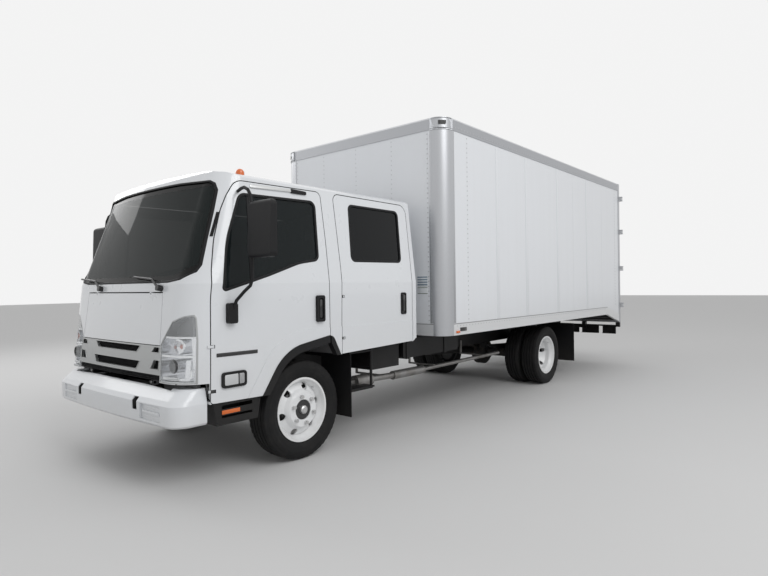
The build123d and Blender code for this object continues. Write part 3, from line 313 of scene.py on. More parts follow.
def edit(piece):
    """Make one piece active and open it for editing with nothing selected."""
    bpy.ops.object.select_all(action="DESELECT")
    piece.select_set(True)
    bpy.context.view_layer.objects.active = piece
    bpy.ops.object.mode_set(mode="EDIT")
    bpy.ops.mesh.select_all(action="DESELECT")


def choose(piece, kind, test):
    """In edit mode, select the vertices, edges or faces that pass a test."""
    bpy.ops.mesh.select_all(action="DESELECT")
    bpy.ops.mesh.select_mode(type={"verts": "VERT", "edges": "EDGE", "faces": "FACE"}[kind])
    shape = bmesh.from_edit_mesh(piece.data)
    for element in getattr(shape, kind):
        if test(element):
            element.select_set(True)
    shape.select_flush_mode()
    bmesh.update_edit_mesh(piece.data)


def done(piece, finish, body, angle=35.0):
    """Leave edit mode, round the shading, and give the piece its finish and body."""
    if bpy.context.mode == "EDIT_MESH":
        bpy.ops.mesh.select_all(action="SELECT")
        bpy.ops.mesh.normals_make_consistent(inside=False)
        bpy.ops.object.mode_set(mode="OBJECT")
    bpy.ops.object.select_all(action="DESELECT")
    piece.select_set(True)
    bpy.context.view_layer.objects.active = piece
    for modifier in list(piece.modifiers):
        bpy.ops.object.modifier_apply(modifier=modifier.name)
    bpy.ops.object.transform_apply(location=True, rotation=True, scale=True)
    bpy.ops.object.shade_smooth_by_angle(angle=math.radians(angle))
    piece.data.materials.clear()
    piece.data.materials.append(finish.material)
    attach(piece, body)
    return piece


def oblong(left, low, right, high, *corner):
    """The corners of an upright rectangle, each with the same corner radius where one is given."""
    return [(left, low, *corner), (right, low, *corner), (right, high, *corner), (left, high, *corner)]


def laid(name, corners, surface, low, high, ring=0.0, bevel=0.0, longest=70.0, repeat=()):
    """A flat plate, or a ring of given width, cut to an outline and laid on a curved skin.

    It stands from low to high above the skin, with its outer edges bevelled, and
    repeats are (count, step along, step up) before it is laid."""
    outline = divided(rounded(corners), longest)
    bpy.ops.object.select_all(action="DESELECT")
    bpy.ops.mesh.primitive_circle_add(vertices=len(outline), fill_type="NGON", location=(0.0, 0.0, 0.0))
    piece = bpy.context.object
    piece.name = name
    for vertex, point in zip(piece.data.vertices, outline):
        vertex.co = (point[0], point[1], low)
    edit(piece)
    bpy.ops.mesh.select_all(action="SELECT")
    if ring:
        bpy.ops.mesh.inset(thickness=ring, use_even_offset=True)
        bpy.ops.mesh.delete(type="FACE")
        bpy.ops.mesh.select_all(action="SELECT")
    bpy.ops.mesh.extrude_region_move(TRANSFORM_OT_translate={"value": (0.0, 0.0, high - low)})
    bpy.ops.mesh.select_all(action="SELECT")
    bpy.ops.mesh.normals_make_consistent(inside=False)
    if bevel:
        top = max(low, high)
        choose(piece, "edges", lambda e: all(abs(v.co.z - top) < 1e-3 for v in e.verts)
               and len(e.link_faces) == 2
               and min(abs(f.normal.z) for f in e.link_faces) < 0.5)
        bpy.ops.mesh.bevel(offset=bevel, segments=2)
    bpy.ops.object.mode_set(mode="OBJECT")
    for count, along, up in repeat:
        copies = piece.modifiers.new("copies", "ARRAY")
        copies.count = count
        copies.use_relative_offset = False
        copies.use_constant_offset = True
        copies.constant_offset_displace = (along, up, 0.0)
        bpy.ops.object.modifier_apply(modifier=copies.name)
    for vertex in piece.data.vertices:
        vertex.co = surface(*vertex.co)
    edit(piece)
    return piece


rubber_black = Finish("rubber_black", (0.009, 0.009, 0.010), 0.55, "black_plastic", Specular_IOR_Level=0.25)
rubber_black.bump(rubber_black.noise(260.0), 0.0004, 0.4)
windscreen_edge = [
    (-663, 1449, 300), (663, 1449, 300), (804, 1467, 200), (906, 1520, 60), (921, 1569, 90), (901, 1748),
    (879, 1970),
    (860, 2125, 120), (830, 2180, 60), (786, 2203, 80), (437, 2216), (-437, 2216), (-786, 2203, 80),
    (-830, 2180, 60), (-860, 2125, 120), (-879, 1970), (-901, 1748), (-921, 1569, 90), (-906, 1520, 60),
    (-804, 1467, 200),
]
seal = laid("windscreen_seal", windscreen_edge, on_front, -6.0, 3.0, ring=15.0, bevel=2.5)
done(seal, rubber_black, "cab")

# Door glass: toughened panes in the front doors, darker privacy glass beside
# the rear seats, each in a wide black rubber channel with a bright inner lip.

door_glass = Finish("door_glass", (0.012, 0.016, 0.017), 0.02, Alpha=0.76, Specular_IOR_Level=0.18)
privacy_glass = Finish("privacy_glass", (0.005, 0.006, 0.007), 0.02, Alpha=0.94, Specular_IOR_Level=0.2)
dress(door_glass, "front_door_glass_left", "front_door_glass_right")
dress(privacy_glass, "crew_door_glass_left", "crew_door_glass_right")
front_window_edge = [
    (305, 1372, 28), (736, 1493, 900), (1043, 1591, 500), (1262, 1622, 60), (1278, 2128, 60), (512, 2112, 80),
    (371, 1749, 900),
]
crew_window_edge = [(1646, 1622, 55), (2366, 1629, 55), (2388, 2144, 55), (1672, 2144, 55)]
for side, word in ((1, "left"), (-1, "right")):
    channel = laid(f"front_window_channel_{word}", front_window_edge, on_cab_side(side), -12.0, 1.5,
                   ring=20.0, bevel=2.0)
    done(channel, rubber_black, f"front_leaf_{word}")
    channel = laid(f"crew_window_channel_{word}", crew_window_edge, on_cab_side(side), -12.0, 1.5,
                   ring=20.0, bevel=2.0)
    done(channel, rubber_black, f"crew_leaf_{word}")
    divider = laid(f"quarter_light_bar_{word}",
                   [(556, 1435, 4), (580, 1441, 4), (610, 2114, 4), (586, 2112, 4)],
                   on_cab_side(side), -12.0, -6.0, bevel=1.5)
    done(divider, rubber_black, f"front_leaf_{word}")

# Rain rail above the front window: a bright rolled strip with a black plastic
# end piece, riveted to the window frame.

bright_strip = Finish("bright_strip", (0.62, 0.63, 0.63), 0.3, "silver_plastic", Metallic=0.7)
bright_strip.feed(Roughness=0.26 + bright_strip.noise(90.0, 2.0, 0.5, (1.0, 0.1, 1.0)) * 0.12)
for side, word in ((1, "left"), (-1, "right")):
    strip = laid(f"rain_rail_{word}", [(610, 2158, 8), (1020, 2170, 8), (1020, 2196, 8), (622, 2188, 8)],
                 on_cab_side(side), 0.3, 11.0, bevel=4.0)
    done(strip, bright_strip, f"front_leaf_{word}")
    end = laid(f"rain_rail_end_{word}", [(1012, 2164, 9), (1176, 2166, 9), (1176, 2194, 9), (1012, 2201, 9)],
               on_cab_side(side), 0.3, 15.0, bevel=5.0)
    done(end, rubber_black, f"front_leaf_{word}")

# Pillar vents: black plastic grilles pushed into slots in the front pillars,
# between the windscreen and the doors, to let air out of the cab.


def on_pillar(side):
    """A function for points out from the rounded corner, at an arc angle and height."""

    def place(angle, z, out):
        half, front, crown, radius = cab_plan(z)
        turn = math.radians(angle)
        x = half - radius + (radius + out) * math.sin(turn)
        return spot(side * x, front + crown + radius - (radius + out) * math.cos(turn), z)

    return place


for side, word in ((1, "left"), (-1, "right")):
    vent = laid(f"pillar_vent_{word}", [(45.6, 1776), (51.0, 1776), (53.4, 1956), (48.0, 1956)],
                on_pillar(side), 0.3, 5.0, bevel=0.5)
    done(vent, rubber_black, "cab")
    slats = laid(f"pillar_vent_slats_{word}", oblong(46.8, 1788, 50.4, 1791),
                 on_pillar(side), 5.0, 8.0, bevel=0.4, repeat=[(13, 0.15, 12.5)])
    done(slats, rubber_black, "cab")

# Grille: injection-moulded frame in satin silver paint, with a black mesh of
# upright ribs clipped in behind its openings.

silver_paint = Finish("silver_paint", (0.40, 0.41, 0.41), 0.35, "silver_plastic", Metallic=0.65,
                      Coat_Weight=0.4, Coat_Roughness=0.1)
silver_paint.feed(
    Base_Color=silver_paint.between((0.36, 0.37, 0.37), (0.47, 0.48, 0.48), silver_paint.noise(900.0, 1.0)),
    Roughness=0.3 + silver_paint.noise(30.0) * 0.12,
)
silver_paint.bump(silver_paint.noise(500.0), 0.0003, 0.4)
dress(silver_paint, "front_grille")
for word, corners in (
        ("row_high", [(-325, 939, 6), (325, 939, 6), (381, 995, 6), (-381, 995, 6)]),
        ("row_low", [(-343, 817, 6), (343, 817, 6), (389, 885, 6), (-389, 885, 6)]),
        ("left_high", [(530, 950, 5), (639, 950, 5), (639, 995, 5), (570, 995, 5)]),
        ("left_low", [(533, 832, 5), (651, 832, 5), (651, 904, 5), (576, 904, 5)]),
        ("right_high", [(-639, 950, 5), (-530, 950, 5), (-570, 995, 5), (-639, 995, 5)]),
        ("right_low", [(-651, 832, 5), (-533, 832, 5), (-576, 904, 5), (-651, 904, 5)])):
    rim = laid(f"grille_rim_{word}", corners, on_front, -6.0, 3.0, ring=5.0, bevel=1.5, longest=40.0)
    done(rim, silver_paint, "cab")
black_mesh = Finish("black_mesh", (0.006, 0.006, 0.007), 0.6, "black_plastic", Specular_IOR_Level=0.2)
black_mesh.bump(black_mesh.noise(120.0), 0.001, 0.5)
dress(black_mesh, "grille_mesh")
ribs = laid("grille_ribs", oblong(-652, 800, -646, 996), on_front, -30.0, -20.0, bevel=1.5,
            longest=200.0, repeat=[(73, 18.0, 0.0)])
done(ribs, black_mesh, "cab")
cross_ribs = laid("grille_cross_ribs", oblong(-655, 838, 655, 842), on_front, -30.0, -24.0,
                  bevel=1.0, longest=40.0, repeat=[(6, 0.0, 25.0)])
done(cross_ribs, black_mesh, "cab")
low_ribs = laid("lower_intake_bars", oblong(-672, 758, 672, 763), on_front, -24.0, -12.0,
                bevel=1.5, longest=50.0, repeat=[(3, 0.0, 13.0)])
done(low_ribs, black_mesh, "cab")

# Headlamps: a black housing with three chambers: a grey turn lamp on top, a
# round main reflector, and a dipped beam projector, behind one clear cover.

chrome = Finish("chrome", (0.72, 0.73, 0.75), 0.12, "lamp_body", Metallic=0.95)
x, y, z = chrome.place()
turn_zone = z > 1.068
frame_zone = ((z - 1.067).size() < 0.006).most((z - 0.937).size() < 0.007)
flutes = ((x.size() * 90.0).fraction() - 0.5).size()
chrome.feed(
    Base_Color=chrome.between(chrome.between((0.74, 0.75, 0.77), (0.15, 0.155, 0.165), turn_zone),
                              (0.75, 0.76, 0.77), frame_zone),
    Metallic=0.95 - turn_zone * 0.5,
    Roughness=0.1 + turn_zone * 0.25,
)
chrome.bump(flutes * turn_zone, 0.002, 0.6)
dress(chrome, "headlamps")
lens_clear = Finish("lens_clear", (0.92, 0.95, 0.97), 0.02, Alpha=0.14)
dress(lens_clear, "headlamp_lenses")
lens_edge = [
    (677, 753), (967, 753), (955, 1052), (942, 1199), (930, 1222), (871, 1215), (769, 1177), (681, 1063),
    (645, 1008),
]
black_gloss = Finish("black_gloss", (0.008, 0.008, 0.009), 0.12, "black_plastic", Coat_Weight=0.6)
black_gloss.feed(Roughness=0.1 + black_gloss.noise(40.0) * 0.06)
guide_white = Finish("guide_white", (0.85, 0.86, 0.87), 0.2, "lamp_body")
guide_white.bump(guide_white.noise(300.0), 0.0005, 0.3)
amber_bulb = Finish("amber_bulb", (0.55, 0.16, 0.10), 0.15, "amber_lens", Coat_Weight=0.5)
amber_bulb.bump(amber_bulb.noise(200.0), 0.0006, 0.3)


def turned(name, profile, centre, axis, steps):
    """A piece turned about an axis from a profile of (along, radius) points in millimetres."""
    along = Vector(axis).normalized()
    across = along.orthogonal().normalized()
    bpy.ops.object.select_all(action="DESELECT")
    bpy.ops.mesh.primitive_circle_add(vertices=len(profile), fill_type="NOTHING", location=(0.0, 0.0, 0.0))
    piece = bpy.context.object
    piece.name = name
    for vertex, (run, radius) in zip(piece.data.vertices, profile):
        vertex.co = centre + along * (run / 1000.0) + across * (radius / 1000.0)
    edit(piece)
    bpy.ops.mesh.select_all(action="SELECT")
    bpy.ops.mesh.spin(steps=steps, angle=2 * math.pi, center=centre, axis=along)
    bpy.ops.mesh.select_all(action="SELECT")
    bpy.ops.mesh.remove_doubles(threshold=0.00002)
    bpy.ops.mesh.select_all(action="SELECT")
    bpy.ops.mesh.normals_make_consistent(inside=False)
    return piece


for side, word in ((1, "left"), (-1, "right")):
    edge = [(side * a, b) for a, b in lens_edge][::side]
    rim = laid(f"headlamp_rim_{word}", edge, on_front, -4.0, 1.2, ring=7.0, bevel=1.0)
    done(rim, silver_paint, "cab")
    for label, low, tall in (("upper", 1062.0, 9.0), ("lower", 932.0, 9.0)):
        width = (688, 951) if label == "upper" else (676, 958)
        bar = laid(f"headlamp_{label}_bar_{word}",
                   oblong(side * width[0], low, side * width[1], low + tall)[::side], on_front, -16.0, -6.5,
                   bevel=2.0)
        done(bar, silver_paint, "cab")
    lens = turned(f"projector_lens_{word}", [(0, 0), (0, 37), (-8, 36), (-20, 27), (-27, 14), (-29, 0)],
                  spot(side * 806, 80, 868), (0, 1, 0), 32)
    done(lens, black_gloss, "cab")
    ring = turned(f"projector_ring_{word}", [(0, 38), (0, 48), (-6, 50), (-12, 46), (-12, 40)],
                  spot(side * 806, 54, 868), (0, 1, 0), 32)
    done(ring, black_gloss, "cab")
    bulb = turned(f"bulb_cap_{word}", [(0, 0), (0, 17), (-10, 17), (-18, 13), (-22, 6), (-23, 0)],
                  spot(side * 842, 104, 1004), (0, 1, 0), 24)
    done(bulb, amber_bulb, "cab")
    bowl = turned(f"reflector_bowl_{word}", [(0, 20), (4, 20), (-16, 52), (-20, 52)],
                  spot(side * 842, 104, 1004), (0, 1, 0), 32)
    done(bowl, chrome, "cab")
    corners = [(690, 772, 6), (930, 772, 10), (922, 912, 4), (908, 912, 4), (914, 790, 4), (690, 790, 6)]
    guide = laid(f"light_guide_{word}", [(side * a, b, r) for a, b, r in corners][::side], on_front,
                 -34.0, -12.0, bevel=3.0)
    done(guide, guide_white, "cab")

# Front bumper: a pressed steel beam in the body's white, with tow eye slots,
# ribbed lamp blanks and a bare number plate place.

bumper_white = Finish("bumper_white", (0.71, 0.73, 0.755), 0.34, "cab_paint", Coat_Weight=0.5,
                      Coat_Roughness=0.1)
x, y, z = bumper_white.place()
depth = y - x * x * 0.0325 + 4.2 - (z - 0.612).most(0.0) * 1.12
# Painted shade: faces deep behind the bumper's face and inside the tow eye slots are painted near black.
inside = (depth > 0.026) * (x.size() < 0.8) * (z < 0.70)
slot = ((x.size() - 0.466).size() < 0.036) * (z > 0.55) * (z < 0.642) * (depth > 0.006)
dust = bumper_white.noise(6.0, 6.0, 0.65) * ((0.62 - z) * 5.0).clamped() * 0.55
ridge = ((((z - 0.50) * 62.0).fraction() - 0.5).size() * ((x.size() - 0.665).size() < 0.115)
         * (y < -4.16) * (z < 0.6))
bumper_white.feed(
    Base_Color=bumper_white.between(bumper_white.between((0.71, 0.73, 0.755), (0.52, 0.51, 0.49), dust),
                                    (0.03, 0.03, 0.03), slot.most(inside)),
    Roughness=0.3 + dust * 0.5,
)
bumper_white.bump(ridge * 3.0 + bumper_white.noise(140.0) * 0.12, 0.0022, 0.7)
dress(bumper_white, "front_bumper")


def on_bumper(x, z, out):
    """A point out from the bumper's upright face."""
    lean = 15.0 * max(0.0, (478.0 - z) / 16.0) + (z - 478.0) * -0.015 if z < 612 else (z - 612.0) * 0.8 - 2.0
    flat = 860.0
    bow = (flat ** 2 + 24.0 ** 2) / 48.0
    return spot(x, -73.0 + lean + bow - math.sqrt(bow ** 2 - x ** 2) - out, z)


plate = laid("number_plate_place", oblong(-155, 526, 155, 598, 8), on_bumper, -2.5, 0.15, ring=5.0)
done(plate, bumper_white, "chassis")

# Wipers: pressed steel arms in black, each holding a rubber blade on the glass
# by a hinged bridge.

black_metal = Finish("black_metal", (0.014, 0.014, 0.015), 0.4, "black_plastic", Metallic=0.3,
                     Coat_Weight=0.2)
black_metal.feed(Roughness=0.34 + black_metal.noise(60.0) * 0.14)
black_metal.bump(black_metal.noise(350.0), 0.0003, 0.4)
dress(black_metal, "wipers")

# Outside plastic: grained black mouldings for arch trims, mirrors, handles,
# steps and boxes, a little dusty and paler low down.

grained_plastic = Finish("grained_plastic", (0.010, 0.010, 0.011), 0.5, "black_plastic",
                         Specular_IOR_Level=0.25)
x, y, z = grained_plastic.place()
dust = grained_plastic.noise(7.0, 5.0, 0.6) * ((1.0 - z) * 1.4).clamped() * 0.5
grained_plastic.feed(
    Base_Color=grained_plastic.between((0.009, 0.009, 0.010), (0.05, 0.047, 0.042), dust),
    Roughness=0.44 + dust * 0.4 + grained_plastic.noise(35.0) * 0.08,
)
grained_plastic.bump(grained_plastic.noise(420.0, 3.0), 0.0008, 0.5)
dress(grained_plastic, "cab_side_trim", "front_door_trim_left", "front_door_trim_right", "mirror_left",
      "mirror_right", "cab_steps", "battery_box")
mirror_glass = Finish("mirror_glass", (0.55, 0.58, 0.6), 0.03, "silver_plastic", Metallic=1.0)
mirror_glass.feed(Roughness=0.025 + mirror_glass.noise(2.0) * 0.01)


def on_mirror(side):
    """A function for points behind the mirror head's glass side."""

    def place(x, z, out):
        return spot(side * x, 492.5 + out, z)

    return place


for side, word in ((1, "left"), (-1, "right")):
    glass = laid(f"mirror_glass_{word}",
                 [(1166, 1644, 20), (1368, 1644, 20), (1368, 1992, 24), (1166, 1992, 24)],
                 on_mirror(side), 0.0, 3.0, bevel=1.0)
    done(glass, mirror_glass, f"front_leaf_{word}")

# Rear door handles: black pull handles in moulded cups, with a flap to lift,
# screwed through the door skin.

for side, word in ((1, "left"), (-1, "right")):
    skin = on_cab_side(side)
    cup = laid(f"crew_handle_cup_{word}", oblong(2322, 1128, 2402, 1340, 18),
               skin, 0.3, 12.0, ring=16.0, bevel=5.0)
    done(cup, grained_plastic, f"crew_leaf_{word}")
    floor = laid(f"crew_handle_floor_{word}", oblong(2336, 1142, 2388, 1326, 6), skin, 0.2, 2.0)
    done(floor, black_gloss, f"crew_leaf_{word}")
    flap = laid(f"crew_handle_flap_{word}", oblong(2342, 1158, 2378, 1318, 9), skin, 2.0, 15.0, bevel=5.0)
    done(flap, black_gloss, f"crew_leaf_{word}")
    flap = laid(f"front_handle_flap_{word}", oblong(1222, 1152, 1251, 1302, 8), skin, 21.0, 23.5, bevel=1.5)
    done(flap, black_gloss, f"front_leaf_{word}")

# Door badge and side lamp: a bare black strip stuck on the skin, and a turn
# lamp with a clear fluted lens and an amber bulb end in a black bezel.

side_lens = Finish("side_lens", (0.62, 0.63, 0.64), 0.08, "lamp_lens", Metallic=0.35, Coat_Weight=0.8)
x, y, z = side_lens.place()
side_lens.feed(Base_Color=side_lens.between((0.62, 0.63, 0.64), (0.30, 0.30, 0.31), (y > -3.692) * 0.7))
side_lens.bump(((y * 120.0).fraction() - 0.5).size() + side_lens.noise(90.0), 0.0015, 0.6)
for side, word in ((1, "left"), (-1, "right")):
    skin = on_cab_side(side)
    strip = laid(f"door_strip_{word}", [(258, 924, 4), (606, 921, 4), (606, 948, 4), (258, 951, 4)], skin,
                 0.3, 3.2, bevel=1.0)
    done(strip, black_gloss, f"front_leaf_{word}")
    lens = laid(f"side_lamp_lens_{word}", [(315, 718, 12), (428, 718, 6), (428, 794, 6), (315, 794, 12)],
                skin, 5.8, 12.5, bevel=3.0)
    done(lens, side_lens, f"front_leaf_{word}")
    lens = laid(f"side_lamp_end_{word}", [(438, 718, 6), (482, 718, 12), (482, 794, 12), (438, 794, 6)],
                skin, 5.8, 11.5, bevel=3.0)
    done(lens, side_lens, f"front_leaf_{word}")

# Seats: foam cushions and backs under grey woven cloth, with sewn channels,
# bolted to the cab floor on plain black risers.

seat_cloth = Finish("seat_cloth", (0.07, 0.07, 0.075), 0.9, "seat_cloth")
weave = seat_cloth.node("ShaderNodeTexWave", {"wave_type": "BANDS", "bands_direction": "DIAGONAL"}, {
    "Vector": seat_cloth.node("ShaderNodeTexCoord", out="Object"), "Scale": 260.0, "Distortion": 1.5}, out=1)
seat_cloth.feed(
    Base_Color=seat_cloth.between((0.045, 0.046, 0.05), (0.10, 0.10, 0.108),
                                  weave * 0.6 + seat_cloth.noise(60.0) * 0.4),
    Roughness=0.82 + weave * 0.12,
)
seat_cloth.bump(weave, 0.0008, 0.6)
dress(seat_cloth, "cab_seats")
seat_pads = [
    # name, low corner and high corner as (x, station, height), lean in degrees, channels across
    ("driver_cushion", (268, 814, 1172), (782, 1310, 1258), 2.0, 3),
    ("driver_back", (268, 1270, 1244), (782, 1346, 1828), -11.0, 3),
    ("passenger_cushion", (-782, 814, 1172), (162, 1310, 1258), 2.0, 5),
    ("passenger_back", (-782, 1270, 1244), (162, 1346, 1828), -11.0, 5),
    ("rear_cushion", (-822, 1990, 1194), (822, 2422, 1284), 3.0, 8),
    ("rear_back", (-822, 2360, 1270), (822, 2434, 1792), -7.0, 8),
]


def puffed(pad, cap):
    """Swell a foam pad against its cover by air pressure, and hold each point's move to a cap."""
    flat = [vertex.co.copy() for vertex in pad.data.vertices]
    cover = pad.modifiers.new("cover", "CLOTH")
    cover.settings.quality = 4
    cover.settings.use_pressure = True
    cover.settings.uniform_pressure_force = 4.0
    cover.settings.effector_weights.gravity = 0.0
    cover.point_cache.frame_end = 20
    for step in range(1, 21):
        bpy.context.scene.frame_set(step)
    swollen = pad.evaluated_get(bpy.context.evaluated_depsgraph_get())
    moves = [vertex.co - old for vertex, old in zip(swollen.data.vertices, flat)]
    pad.modifiers.remove(cover)
    bpy.context.scene.frame_set(1)
    for vertex, old, move in zip(pad.data.vertices, flat, moves):
        vertex.co = old + move * min(1.0, cap / max(move.length, 1e-6))


for name, low, high, lean, channels in seat_pads:
    mid = spot(*[(a + b) / 2 for a, b in zip(low, high)])
    size = Vector([(b - a) / 1000.0 for a, b in zip(low, high)])
    bpy.ops.object.select_all(action="DESELECT")
    bpy.ops.mesh.primitive_cube_add(size=1.0, location=(0.0, 0.0, 0.0))
    pad = bpy.context.object
    pad.name = name
    pad.scale = size
    bpy.ops.object.transform_apply(location=False, rotation=False, scale=True)
    edit(pad)
    bpy.ops.mesh.select_all(action="SELECT")
    bpy.ops.mesh.bevel(offset=min(size) * 0.3, segments=3, affect="EDGES")
    bpy.ops.mesh.select_all(action="SELECT")
    bpy.ops.mesh.normals_make_consistent(inside=False)
    bpy.ops.object.mode_set(mode="OBJECT")
    pad.data.remesh_voxel_size = 0.016
    bpy.ops.object.voxel_remesh()
    puffed(pad, 0.009)
    thin = 2 if size.z < size.y else 1
    for vertex in pad.data.vertices:
        across = min(max(vertex.co.x / size.x + 0.5, 0.0), 1.0)
        along = min(max(vertex.co[3 - thin] / size[3 - thin] + 0.5, 0.0), 1.0)
        crown = max(0.0, math.sin(math.pi * across)) ** 0.35 * max(0.0, math.sin(math.pi * along)) ** 0.35
        groove = 1.0 - abs(math.sin(math.pi * across * channels)) ** 0.25
        inner = 1.0 if 0.1 < along < 0.9 and 0.04 < across < 0.96 else 0.0
        vertex.co[thin] *= 0.80 + 0.20 * crown - 0.16 * groove * inner
        vertex.co.x *= 1.0 - 0.018 * math.sin(math.pi * along)
    pad.data.transform(Matrix.Translation(mid) @ Matrix.Rotation(math.radians(lean), 4, "X"))
    evened = pad.modifiers.new("evened", "CORRECTIVE_SMOOTH")
    evened.iterations = 3
    evened.use_only_smooth = True
    rounder = pad.modifiers.new("rounder", "SUBSURF")
    rounder.levels = 1
    rounder.render_levels = 1
    done(pad, seat_cloth, "cab", 80.0)
    if name == "driver_cushion":
        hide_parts("cab_seats")
for name, x0, x1, s0, s1, z0, z1 in (
        ("driver_riser", 300, 750, 850, 1300, 1000, 1176),
        ("passenger_riser", -750, 130, 850, 1300, 1000, 1176),
        ("rear_riser", -770, 770, 2030, 2400, 912, 1200)):
    bpy.ops.object.select_all(action="DESELECT")
    bpy.ops.mesh.primitive_cube_add(size=1.0, location=spot((x0 + x1) / 2, (s0 + s1) / 2, (z0 + z1) / 2))
    riser = bpy.context.object
    riser.name = name
    riser.scale = ((x1 - x0) / 1000.0, (s1 - s0) / 1000.0, (z1 - z0) / 1000.0)
    bpy.ops.object.transform_apply(location=False, rotation=False, scale=True)
    edit(riser)
    bpy.ops.mesh.select_all(action="SELECT")
    bpy.ops.mesh.bevel(offset=0.02, segments=3, affect="EDGES")
    choose(riser, "faces", lambda f: abs(f.normal.z) < 0.1 and f.calc_area() > 0.01)
    bpy.ops.mesh.inset(thickness=0.03, depth=-0.008)
    done(riser, grained_plastic, "cab")

# Dashboard and steering wheel: soft grey moulding with an instrument hood, and
# a wheel with a grained rim on three spokes.

dash_plastic = Finish("dash_plastic", (0.05, 0.05, 0.053), 0.7)
x, y, z = dash_plastic.place()
top = z > 1.36
dash_plastic.feed(
    Base_Color=dash_plastic.between((0.11, 0.11, 0.115), (0.035, 0.035, 0.037), top),
    Roughness=0.6 + dash_plastic.noise(80.0) * 0.15,
)
dash_plastic.bump(dash_plastic.noise(600.0, 3.0), 0.0006, 0.5)
dress(dash_plastic, "dashboard")
wheel_rim = Finish("wheel_rim", (0.02, 0.02, 0.021), 0.55)
wheel_rim.bump(wheel_rim.noise(700.0, 3.0), 0.0005, 0.6)
dress(wheel_rim, "steering_wheel")

# Chassis: pressed and rolled steel members painted satin black, with road dust
# on what faces the wheels, and cast iron axle parts.

chassis_black = Finish("chassis_black", (0.009, 0.009, 0.010), 0.5, Specular_IOR_Level=0.25)
x, y, z = chassis_black.place()
dust = (chassis_black.noise(9.0, 6.0, 0.65) - 0.35).clamped() * 1.6 * ((0.95 - z) * 1.6).clamped()
chassis_black.feed(
    Base_Color=chassis_black.between((0.008, 0.008, 0.009), (0.05, 0.045, 0.039), dust.clamped() * 0.6),
    Roughness=0.42 + dust.clamped() * 0.4,
)
chassis_black.bump(chassis_black.noise(150.0, 3.0), 0.0008, 0.35)
dress(chassis_black, "frame_rails", "fuel_tank", "leaf_springs", "drive_shaft", "crew_steps",
      "underride_guard", "tie_rod")
cast_iron = Finish("cast_iron", (0.04, 0.04, 0.04), 0.65)
cast_iron.feed(
    Base_Color=cast_iron.between((0.028, 0.028, 0.028), (0.09, 0.065, 0.045),
                                 (cast_iron.noise(14.0, 6.0) - 0.45).clamped() * 2.0),
    Roughness=0.6 + cast_iron.noise(40.0) * 0.2,
)
cast_iron.bump(cast_iron.noise(220.0, 3.0), 0.0012, 0.5)
dress(cast_iron, "engine_block", "front_axle_beam", "rear_axle_housing", "knuckle_left", "knuckle_right")

# Exhaust: aluminised steel silencer and pipes with bright, slightly blued skin
# and dull joints.

exhaust_steel = Finish("exhaust_steel", (0.35, 0.34, 0.32), 0.4, Metallic=0.8)
heat = exhaust_steel.noise(6.0, 5.0)
exhaust_steel.feed(
    Base_Color=exhaust_steel.between((0.29, 0.285, 0.28), (0.12, 0.10, 0.08), (heat - 0.42).clamped() * 2.2),
    Roughness=0.34 + heat * 0.25,
)
exhaust_steel.bump(exhaust_steel.noise(120.0), 0.0006, 0.4)
dress(exhaust_steel, "exhaust_system")

# Mud flaps: thick black rubber sheets, softly ribbed, clamped at the top edge.

flap_rubber = Finish("flap_rubber", (0.010, 0.010, 0.010), 0.7, Specular_IOR_Level=0.2)
x, y, z = flap_rubber.place()
flap_rubber.feed(Base_Color=flap_rubber.between((0.008, 0.008, 0.009), (0.035, 0.033, 0.03),
                 flap_rubber.noise(8.0, 5.0) * ((0.62 - z) * 2.0).clamped()))
flap_rubber.bump((x * 24.0).fraction() + flap_rubber.noise(200.0) * 0.3, 0.0012, 0.4)
dress(flap_rubber, "mud_flaps")

# Tyres: radial truck tyres with four grooves round the tread, shoulder blocks
# and ribbed sidewalls, mounted singly in front and in pairs behind.

tyre_rubber = Finish("tyre_rubber", (0.011, 0.011, 0.012), 0.75, "tyre", Specular_IOR_Level=0.25)
dirt = tyre_rubber.noise(12.0, 6.0, 0.6)
tyre_rubber.feed(
    Base_Color=tyre_rubber.between((0.009, 0.009, 0.0095), (0.03, 0.028, 0.026),
                                   (dirt - 0.45).clamped() * 1.6),
    Roughness=0.62 + dirt * 0.25,
)
tyre_rubber.bump(tyre_rubber.noise(300.0, 3.0), 0.0008, 0.4)
groove_depth = 11.0
tread_half = 99.0
half_profile = [
    # offset from the tyre's middle, radius
    (0.0, 403.4), (14.0, 403.3), (16.0, 403.3 - groove_depth), (23.0, 403.2 - groove_depth), (25.0, 403.1),
    (54.0, 402.2), (56.0, 402.0 - groove_depth), (63.0, 401.7 - groove_depth), (65.0, 401.2), (84.0, 398.6),
    (96.0, 395.0), (tread_half, 391.0), (102.5, 383.0), (106.0, 370.0), (107.6, 366.0), (109.4, 364.0),
    (112.4, 350.0), (112.9, 340.0), (112.2, 328.0), (111.0, 325.0), (110.2, 315.0), (108.0, 302.0),
    (101.0, 286.0),
    (92.0, 271.0), (88.0, 266.0), (87.2, 262.5), (85.6, 258.0), (85.4, 252.4), (79.2, 252.2), (79.0, 266.0),
    (97.5, 302.0), (97.5, 376.0), (60.0, 383.0), (0.0, 384.0),
]
tyre_profile = half_profile + [(-a, r) for a, r in half_profile[-2:0:-1]]
tyre_steps = 150


